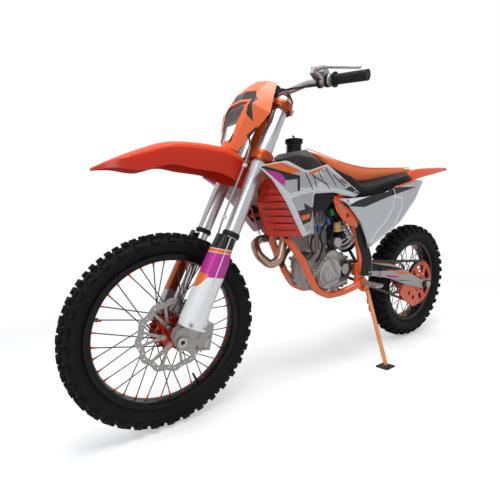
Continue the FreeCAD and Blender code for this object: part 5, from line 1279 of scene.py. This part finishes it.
# Tail. Orange moulded fender over the rear wheel with turned-down edges and a spine on each side, a
# red lamp under its tip, and the black air box between the subframe's tubes.
tail_line = smooth_line([
    (-287.8, 992.8, 1005.1), (-120.6, 963.2, 993.8), (85.7, 926.2, 973.1), (208.3, 894.2, 936.1),
    (297.5, 884.3, 921.3)], 8)
tail_halves = smooth_line([(53.4, 0), (73.6, 0), (92, 0), (92, 0), (89.2, 0)], 8)
tail_side = [
    (1.0, 0.0), (0.965, 0.20), (0.915, 0.52), (0.865, 0.84), (0.82, 0.97), (0.76, 1.0), (0.66, 1.0), (0.60, 0.86),
    (0.30, 0.88), (0.0, 0.90),
]
tail_profile = [(-wide, rise) for wide, rise in tail_side] + tail_side[-2::-1]
rows = []
for (x, low, high), half in zip(tail_line, tail_halves):
    rows.append([(x, half.x * wide, low + (high - low) * rise) for wide, rise in tail_profile])
tail_band = (film_dark, [(-262, 1200), (-250, 1200), (-250, 800), (-262, 800)])
tail_film = film_print_and_shade("tail_orange", tone(0.80, 0.070, 0.009), [tail_band], 0.28)
tail_sheet = skinned(rows, ring=False)
piece("tail_fender", tail_sheet, tail_film, bevel=0.6, wall=2.8, sharp=45, stands_for=("rear_fender",))
material, place = blank("tail_lamp_red")
prisms = place.cells(300, "CHEBYCHEV")
colour = prisms.over(tone(0.42, 0.008, 0.006), tone(0.20, 0.004, 0.003))
restyle(dress(material, prisms, 600, colour=colour, rough=0.12, coat=1.0), 1.6, "tail_lamp")
restyle(black_plastic, 6, "air_box")
inner_line = smooth_line([(538, 743), (500, 690), (455, 630), (424, 572)], 5)
rows = [[(spot.x - 10 * (y / 46) ** 2, y, spot.y) for y in (-46, -30, 0, 30, 46)] for spot in inner_line]
piece("inner_mudguard", skinned(rows, ring=False), black_plastic, wall=3)


# Handlebar and controls. Silver aluminium tube with black ribbed grips, forged levers on their
# perches, lidded fluid reservoirs, a foam pad, a small display and the hoses that leave them.
bar_silver = finish("bar_silver_anodise", (0.50, 0.50, 0.51), 0.30, metal=0.9, grain=1400, depth=10, patch=0.06)
restyle(bar_silver, 0, "handlebar")
restyle(black_plastic, 2, "bar_mount")
mount_line = [(1064, 1200), (1021, 1228), (993, 1222), (967, 1184), (977, 1158), (1021, 1172), (1056, 1164)]
piece("bar_mount_covers", pair(plate(mount_line, 8, 34, 68)), black_plastic, "fork", bike, bevel=4)
restyle(cover_cast, 2.2, "hand_controls")
restyle(finish("grey_hose_sleeve", (0.30, 0.31, 0.32), 0.34, coat=0.3), 0, "brake_hose")
restyle(hose_rubber, 0, "control_cables")
material, place = blank("grip_rubber")
ribs = (place.axes()[1] * 1250).wave()
colour = place.noise(40, 4).over(tone(0.010, 0.010, 0.010), tone(0.026, 0.026, 0.027))
restyle(dress(material, ribs, 1600, colour=colour, rough=0.62, shine=0.2), 0, "grips")
perch = Vector((-19.9, 278, 983.6))
inward = Vector((0.25, -0.968, 0.025)).normalized()
reservoir = Matrix((inward, forward, Vector((0, 0, 1)))).transposed().to_4x4()
reservoir.translation = perch + inward * 9.2 + forward * 11.4
lid = moved(swapped(plate([(0, 0), (52, 0), (52, 32), (0, 32)], 5, 25.5, 27.2)), reservoir)
bar_end = Vector((-50.9, 398, 980.5))
bar_cap = swept([bar_end - inward * step for step in (-2, 3.8, 5.6)], [16.6, 16.6, 14.5], 28)
collars = [collar(perch + inward * start, inward, 12, 21.2, 28) for start in (6, 36)]
lid_screws = [screw(reservoir @ Vector((along, 16, 27.1)), (0, 0, 1), 3.6, 1.1) for along in (7, 45)]
piece("reservoir_lids", pair([lid, bar_cap]), black_plastic, "fork", bevel=1)
piece("perch_collars", pair(collars), black_plastic, "fork", bevel=1.2)
piece("lid_screws", pair(lid_screws), bolt_steel, "fork")
foam_rows = []
for y, share in (
        (-48, 0.55), (-47, 0.82), (-43, 0.95), (-34, 1), (0, 1), (34, 1), (43, 0.95), (47, 0.82), (48, 0.55)):
    ring = [(19.5 * share * blunt(a, 0.6), 14.5 * share * blunt(b, 0.6)) for a, b in around(20, 1)]
    foam_rows.append([(27.8 + x, y, 992.5 + z) for x, z in ring])
foam_cover = finish("pad_cover", (0.020, 0.020, 0.021), 0.55, grain=700, depth=300)
foam_form = skinned(foam_rows, ends=True)
foam_pad = piece("handlebar_pad", foam_form, foam_cover, "fork", levels=1, sharp=180, stands_for=("bar_pad",))
restyle(black_plastic, 3, "instrument")
display = finish("display_glass", (0.030, 0.040, 0.036), 0.10, coat=1.0, grain=200, depth=0)
screen = plate([(-20, 6), (20, 6), (20, 36), (-20, 36)], 3, 0, 1.6)
screen = [Vector((31.7 + p.z * 0.2391 - p.y, p.x, 908 + p.z)) for p in screen[0]], screen[1]
piece("display_screen", screen, display, "fork", bevel=0.5)
hose_clips = []
for x, y, z in ((61.1, 80, 640), (58.5, 78.3, 440)):
    hose_clips.append(turned([(-6, 3.6), (-6, 6.2), (6, 6.2), (6, 3.6)], 20, (x, y, z), closed=True))
    corners = [(x - 4, y + 4), (x - 4, y + 14), (x + 2, y + 14), (x + 2, y + 4)]
    hose_clips.append(skinned([[(*corner, z + rise) for corner in corners] for rise in (-6, 6)], ends=True))
clip_white = finish("clip_white", (0.62, 0.63, 0.64), 0.35)
piece("brake_hose_clips", hose_clips, clip_white, "fork", bevel=0.6)


# Brake calipers. Cast alloy bodies astride the discs, with piston caps, pad pins, hollow fixing
# bolts and a bleed nipple; the rear one is carried by an orange bracket on the swingarm.
restyle(case_cast, 5, "front_caliper", "rear_caliper")
piston_profile = [(-1, 0), (-1, 15), (3, 14.2), (3, 10), (1.8, 9.4), (1.8, 0)]
for end, body, sided, angle, reach, face in (
        ("front", "fork", one, 168, 108, 85.7), ("rear", "chassis", flipped, -15, 88, 91.7)):
    outward, tangent = on_wheel(90 + angle, reach), on_wheel(angle, 1)
    middle, inner = outward + Vector((0, face, 0)), outward + Vector((0, face - 20, 0))
    caps = [turned(piston_profile, 32, middle + tangent * along, (0, 1, 0)) for along in (-21, 21)]
    bolts = [swept([inner + tangent * 48, inner + tangent * 61], [4, 2.6], 10)]
    for along, aside in ((-42, 0), (42, 0), (0, 0.17), (0, -0.17)):
        bolts.append(screw(middle + tangent * along + outward * aside, (0, 1, 0), 5.2))
    piece(end + "_piston_caps", sided(caps), cover_cast, body, places[end + "_wheel"], bevel=0.4)
    piece(end + "_caliper_bolts", sided(bolts), bolt_steel, body, places[end + "_wheel"])


# Swingarm. Silver anodised box arms under a film of black, orange and magenta on their outer faces,
# with an orange chain slider on top, black axle blocks with adjusters and the orange chain guide.
swing_silver = (0.43, 0.42, 0.405)
material, place = blank("swingarm_film")
along, rise, aside = (place.toward(way) - bike.translation.dot(way) for way in (forward, bike_up, left))
outer_face = abs(aside) > along.spread(0.339, 0.565, 0.106, 0.062)
cloud = place.noise(12, 5)
colour = cloud.over(tone(*(c * 0.86 for c in swing_silver)), tone(*swing_silver))
for paint, corners in (
        (film_dark, [(520, 507), (267, 457), (231, 440), (438, 455), (517, 460)]),
        (print_orange, [(376, 459), (145, 416), (240, 417)]),
        (print_magenta, [(385, 432), (297, 417), (262, 401), (351, 415)]),
        (film_dark, [(340, 404), (120, 366), (250, 384)])):
    colour = (inside(along, rise, corners) * outer_face).over(colour, paint)
brushed = place.node("Mapping", {}, {0: place, "Scale": (60, 900, 900)}).noise(1)
swing_film = dress(material, brushed, 40, colour=colour, rough=cloud * 0.12 + 0.30, metal=0.55)
restyle(swing_film, 5, "swingarm")
restyle(bolt_steel, 1.2, "rear_axle")
orange_plastic = finish("orange_gloss_plastic", (0.78, 0.085, 0.012), 0.30, coat=0.4, depth=20)
slider_rows = []
for x, y, half, low in (
        (600, 62, 10, 497.5), (560, 68, 10, 496.5), (520, 75, 10, 495.5), (475, 86, 7, 494.5), (430, 94, 5, 492.5),
        (385, 100, 8, 487), (340, 105, 10, 480.5), (300, 106, 10, 466.5), (262, 106, 10, 453)):
    slider_rows.append([(x, y - half, low), (x, y + half, low), (x, y + half, low + 4.2), (x, y - half, low + 4.2)])
piece("chain_slider", skinned(slider_rows, ends=True), orange_plastic, bevel=1.4)
guide_line = [(174.8, 364), (130.3, 352), (29.9, 280.1), (24.3, 213.5), (85.7, 208.6), (174.8, 262.9), (219.4, 307.2)]
guide_holes = circle(83, 262, 14), circle(124, 293, 12), circle(58, 231, 6, 16)
guide = plate(guide_line, 12, 88.8, 97.4, *guide_holes)
piece("chain_guide_block", guide, orange_plastic, bevel=1.4, stands_for=("chain_guide",))
axle_hole = circle(0, rear_radius, 13.5, 28)
block = plate([(-34, 316), (34, 318), (34, 352), (-34, 354)], 5, 120.3, 126.2, axle_hole)
nut = spun([(126.2, 13), (126.2, 20.5), (130, 20.5), (130, 13)], 6, True)
adjusters = [screw((-46.5, 106, rear_radius), (-1, 0, 0), 6, 7), moved(nut, Matrix.Translation((0, 0, rear_radius)))]
piece("axle_blocks", pair(block), black_plastic, bevel=1)
piece("chain_adjusters", pair(adjusters), bolt_steel, bevel=0.6)


# Frame side pieces. Orange cast gussets screwed over the frame above the shock, and long black guards
# over the pivot with a bright pressed edge and one screw at the foot.
gusset_line = [(792, 810), (748, 794), (682, 764), (625, 710), (632, 680), (696, 698), (738, 728), (771, 761)]
gusset_face = [shrunk(eased(gusset_line, 6), (702, 742), 0.80), circle(700, 738, 13)]
gusset = [plate(gusset_line, 6, 122.8, 126.2, circle(700, 738, 10)), slab(gusset_face, 126.2, 128.5)]
piece("frame_gussets", pair(gusset), orange_coat, bevel=1.2)
pivot_line = [
    (669, 767), (620, 710), (559, 621), (508, 533), (507, 446), (585, 452), (578, 539), (619, 624), (643, 694),
]
pivot_guard = plate(pivot_line, 8, 118.2, 122.2)
piece("pivot_guards", pair(pivot_guard), black_plastic, bevel=1.4, stands_for=("frame_guards",))
edge_line = [(x, 122.8, z) for x, z in ((655, 752), (612, 700), (556, 616), (513, 533), (511, 460))]
piece("guard_edges", pair(swept(smooth_line(edge_line), 1.1, 8)), bar_silver)
side_screws = screws([(752, 778), (648, 694)], 126.2, 5.8) + screws([(528, 462)], 122.2, 5.8)
piece("frame_side_screws", pair(side_screws), bolt_steel)


# Rear shock. Black anodised body and bright rod between two eyes, with a white wound spring held
# between its seats and a piggyback reservoir beside the upper eye.
restyle(finish("black_shock_anodise", (0.020, 0.020, 0.022), 0.30, metal=0.7, coat=0.2), 1.5, "rear_shock")
restyle(finish("white_spring_coat", (0.72, 0.73, 0.74), 0.28, coat=0.4, depth=20), 0, "shock_spring")
shock_top, shock_low = Vector((684.83, 0, 749.64)), Vector((453.53, 0, 470))
shock_down = (shock_low - shock_top).normalized()
collars = [collar(shock_top + shock_down * 20, shock_down, 6, 45.5, 36)]
collars.append(collar(shock_top + shock_down * 10, shock_down, 8, 36, 36))
piece("shock_collars", collars, orange_anodise, bevel=1)


# Exhaust. Stainless header looped ahead of the frame, tinted bronze by heat near the head, and a
# brushed aluminium silencer with a dark end cap, a riveted band and a strap.
material, place = blank("heat_tinted_steel")
warm = place.toward(forward).spread(-0.10, 0.24)
streak = place.noise(16, 6)
colour = (warm * (streak * 0.5 + 0.6)).over(tone(0.46, 0.43, 0.40), tone(0.44, 0.27, 0.19))
restyle(dress(material, streak, 60, colour=colour, rough=streak * 0.25 + 0.16, metal=1.0), 0, "exhaust_header")
header_flange = plate([(893, 712), (903, 712), (907, 764), (897, 764)], 4, -36, 36)
coils = []
for y in (-24, 24):
    turns = [(898 + 0.9 * step, step * 1.25) for step in range(41)]
    coils.append(swept([(x, y + 3.4 * math.cos(t), 737 + 3.4 * math.sin(t)) for x, t in turns], 0.8, 6))
piece("header_flange", header_flange, case_cast, bevel=1)
piece("header_springs", coils, bolt_steel)
brushed = fin_finish("silencer_brushed", forward, 0.9, tone(0.30, 0.30, 0.305), tone(0.42, 0.42, 0.425), 0.30)
restyle(brushed, 3, "silencer")
muffler_front, muffler_end = Vector((453.526, -156, 723.998)), Vector((-48.107, -156, 815.24))
muffler_axis = (muffler_end - muffler_front).normalized()
bands = [collar(muffler_front + muffler_axis * back, muffler_axis, 12, 51.2, 48) for back in (375, 250, 110)]
end_cap = swept([muffler_end + muffler_axis * step for step in (-46, -16, 0.5, 4)], [51.5, 51, 44, 27], 48)
piece("silencer_bands", bands, bolt_steel, bevel=0.8)
piece("silencer_end_cap", end_cap, black_plastic, bevel=0.8)


# Footpegs, foot levers and side stand. Toothed steel pegs in orange clevises, forged levers, and a
# stand leg with a bright copper-orange coat that carries the parked bike.
restyle(finish("forged_lever_steel", (0.36, 0.35, 0.34), 0.34, metal=0.95), 0, "foot_levers")
peg_rim = [(541, 124), (589, 124), (589, 208), (580, 214.5), (550, 214.5), (541, 208)]
windows = [eased([(548, y), (582, y), (582, y + 21), (548, y + 21)], 3) for y in (131, 157, 183)]
peg_parts = [swapped(plate(peg_rim, 4, 411.5, 420.5, *windows))]
peg_teeth = [(x, 128.5 + 8.1 * step, 4.5) for step in range(11) for x in (542.5, 583.5)]
peg_teeth += [(x, y, 4) for y in (152.5, 178.5, 208) for x in (551, 559, 567, 575)]
for x, y, deep in peg_teeth:
    rows = []
    for inset, z in ((0, 420), (1.2, 424.8)):
        near, far, low, high = x + inset, x + 4.5 - inset, y + inset, y + deep - inset
        rows.append([(near, low, z), (far, low, z), (far, high, z), (near, high, z)])
    peg_parts.append(skinned(rows, ends=True))
peg_steel = finish("peg_steel", (0.42, 0.41, 0.40), 0.36, metal=0.95, grain=600, depth=100)
piece("toothed_footpegs", pair(peg_parts), peg_steel, bevel=0.6, stands_for=("footpegs",))
clevis_line = [(540, 404), (590, 404), (590, 432), (556, 440), (540, 430)]
clevis = [plate(clevis_line, 6, low, low + 6) for low in (108.5, 116.5)]
piece("peg_clevises", pair(clevis), orange_coat, bevel=1.2)
piece("peg_pins", pair(collar((565, 106, 418), (0, 1, 0), 21, 5, 16)), bolt_steel, bevel=0.8)
material, place = blank("copper_stand_coat")
foot_rubber = place.axes()[2] < 0.011
worn = place.noise(14, 5)
colour = worn.over(tone(0.84, 0.30, 0.12), tone(0.96, 0.40, 0.18))
colour = foot_rubber.over(colour, tone(0.012, 0.012, 0.012))
rough = worn * 0.14 + foot_rubber * 0.35 + 0.20
restyle(dress(material, worn, 10, colour=colour, rough=rough, metal=foot_rubber * -0.6 + 0.6), 2, "side_stand")


# Cables and connectors beside the engine. A throttle body with its rubber boots, black wiring that
# loops over the head, and small moulded plugs in green, blue and amber.
intake = Vector((755, 0, 748))
intake_axis = Vector((-0.985, 0, 0.17)).normalized()
boots = []
for reaches, radii in (
        ((0, 12, 16, 30, 34, 50), [30, 30, 27, 27, 31, 31]), ((50, 85, 90, 118), [27.5, 27.5, 31, 34])):
    boots.append(swept([intake + intake_axis * reach for reach in reaches], radii, 32))
piece("throttle_body_and_boots", boots, black_plastic, bevel=1)
wire_routes = [
    (4.6, [
        (742, 50, 820), (768, 82, 806), (793, 90, 767), (776, 92, 728), (806, 88, 695), (824, 84, 652),
        (806, 82, 608), (830, 90, 565), (842, 80, 538)]),
    (5.6, [
        (712, 50, 835), (736, 80, 812), (724, 86, 782), (738, 88, 744), (712, 86, 712), (690, 80, 668),
        (702, 78, 622), (724, 74, 586)]),
    (3.6, [(845, 40, 800), (856, 84, 762), (870, 82, 716), (856, 80, 668), (874, 78, 618), (862, 80, 580)]),
    (4, [(690, 40, 810), (690, 74, 786), (700, 80, 748), (684, 78, 712), (664, 70, 690)]),
    (5.2, [
        (800, 50, 812), (812, 80, 788), (790, 86, 748), (752, 86, 722), (742, 84, 690), (752, 84, 640),
        (738, 88, 584)]),
]
wires = [swept(smooth_line(route, 8), radius, 10) for radius, route in wire_routes]
piece("engine_wiring", wires, hose_rubber)
small_plug = (24, 13, 16)
for hue, spot, turn, (long, wide, high), colour in (
        ("green", (762, 92, 750), 70, small_plug, (0.016, 0.34, 0.075)),
        ("blue", (789, 96, 712), 60, small_plug, (0.016, 0.085, 0.36)),
        ("low_blue", (838, 88, 682), 80, small_plug, (0.016, 0.075, 0.32)),
        ("amber", (728, 94, 684), 85, (36, 16, 30), (0.60, 0.36, 0.10))):
    rows = []
    for x, share in ((-long / 2, 0.5), (long / 2, 0.5), (long / 2, 0.4), (long / 2 + 6, 0.4)):
        y, z = wide * share, high * share
        rows.append([(x, -y, -z), (x, y, -z), (x, y, z), (x, -y, z)])
    spin = Matrix.Translation(spot) @ Matrix.Rotation(math.radians(-turn), 4, "Y")
    plug_finish = finish("plug_" + hue, colour, 0.38, depth=20)
    piece("plug_" + hue, moved(skinned(rows, ends=True), spin), plug_finish, bevel=1.2)
shield_line = [
    (742, 815), (672, 800), (655, 740), (672, 700), (684, 640), (676, 590), (702, 556), (736, 560), (752, 620),
    (752, 720),
]
shield = [plate(shield_line, 8, 46, 56)]
for up in (590, 622, 720, 760):
    shield.append(plate([(682, up), (748, up + 6), (748, up + 14), (682, up + 8)], 3, 55, 66))
canister = spun([(0, 0), (0, 17), (4, 20), (34, 20), (36, 16), (52, 14), (54, 0)], 28)
shield.append(moved(canister, Matrix.Translation((690, 52, 646))))
piece("engine_side_shield", shield, black_plastic, bevel=1)
side_line = [(950, 838), (777, 842), (783, 810), (827, 766), (892, 754), (945, 756)]
piece("tank_side_covers", pair(plate(side_line, 6, 118.5, 121.5)), black_plastic, bevel=1)
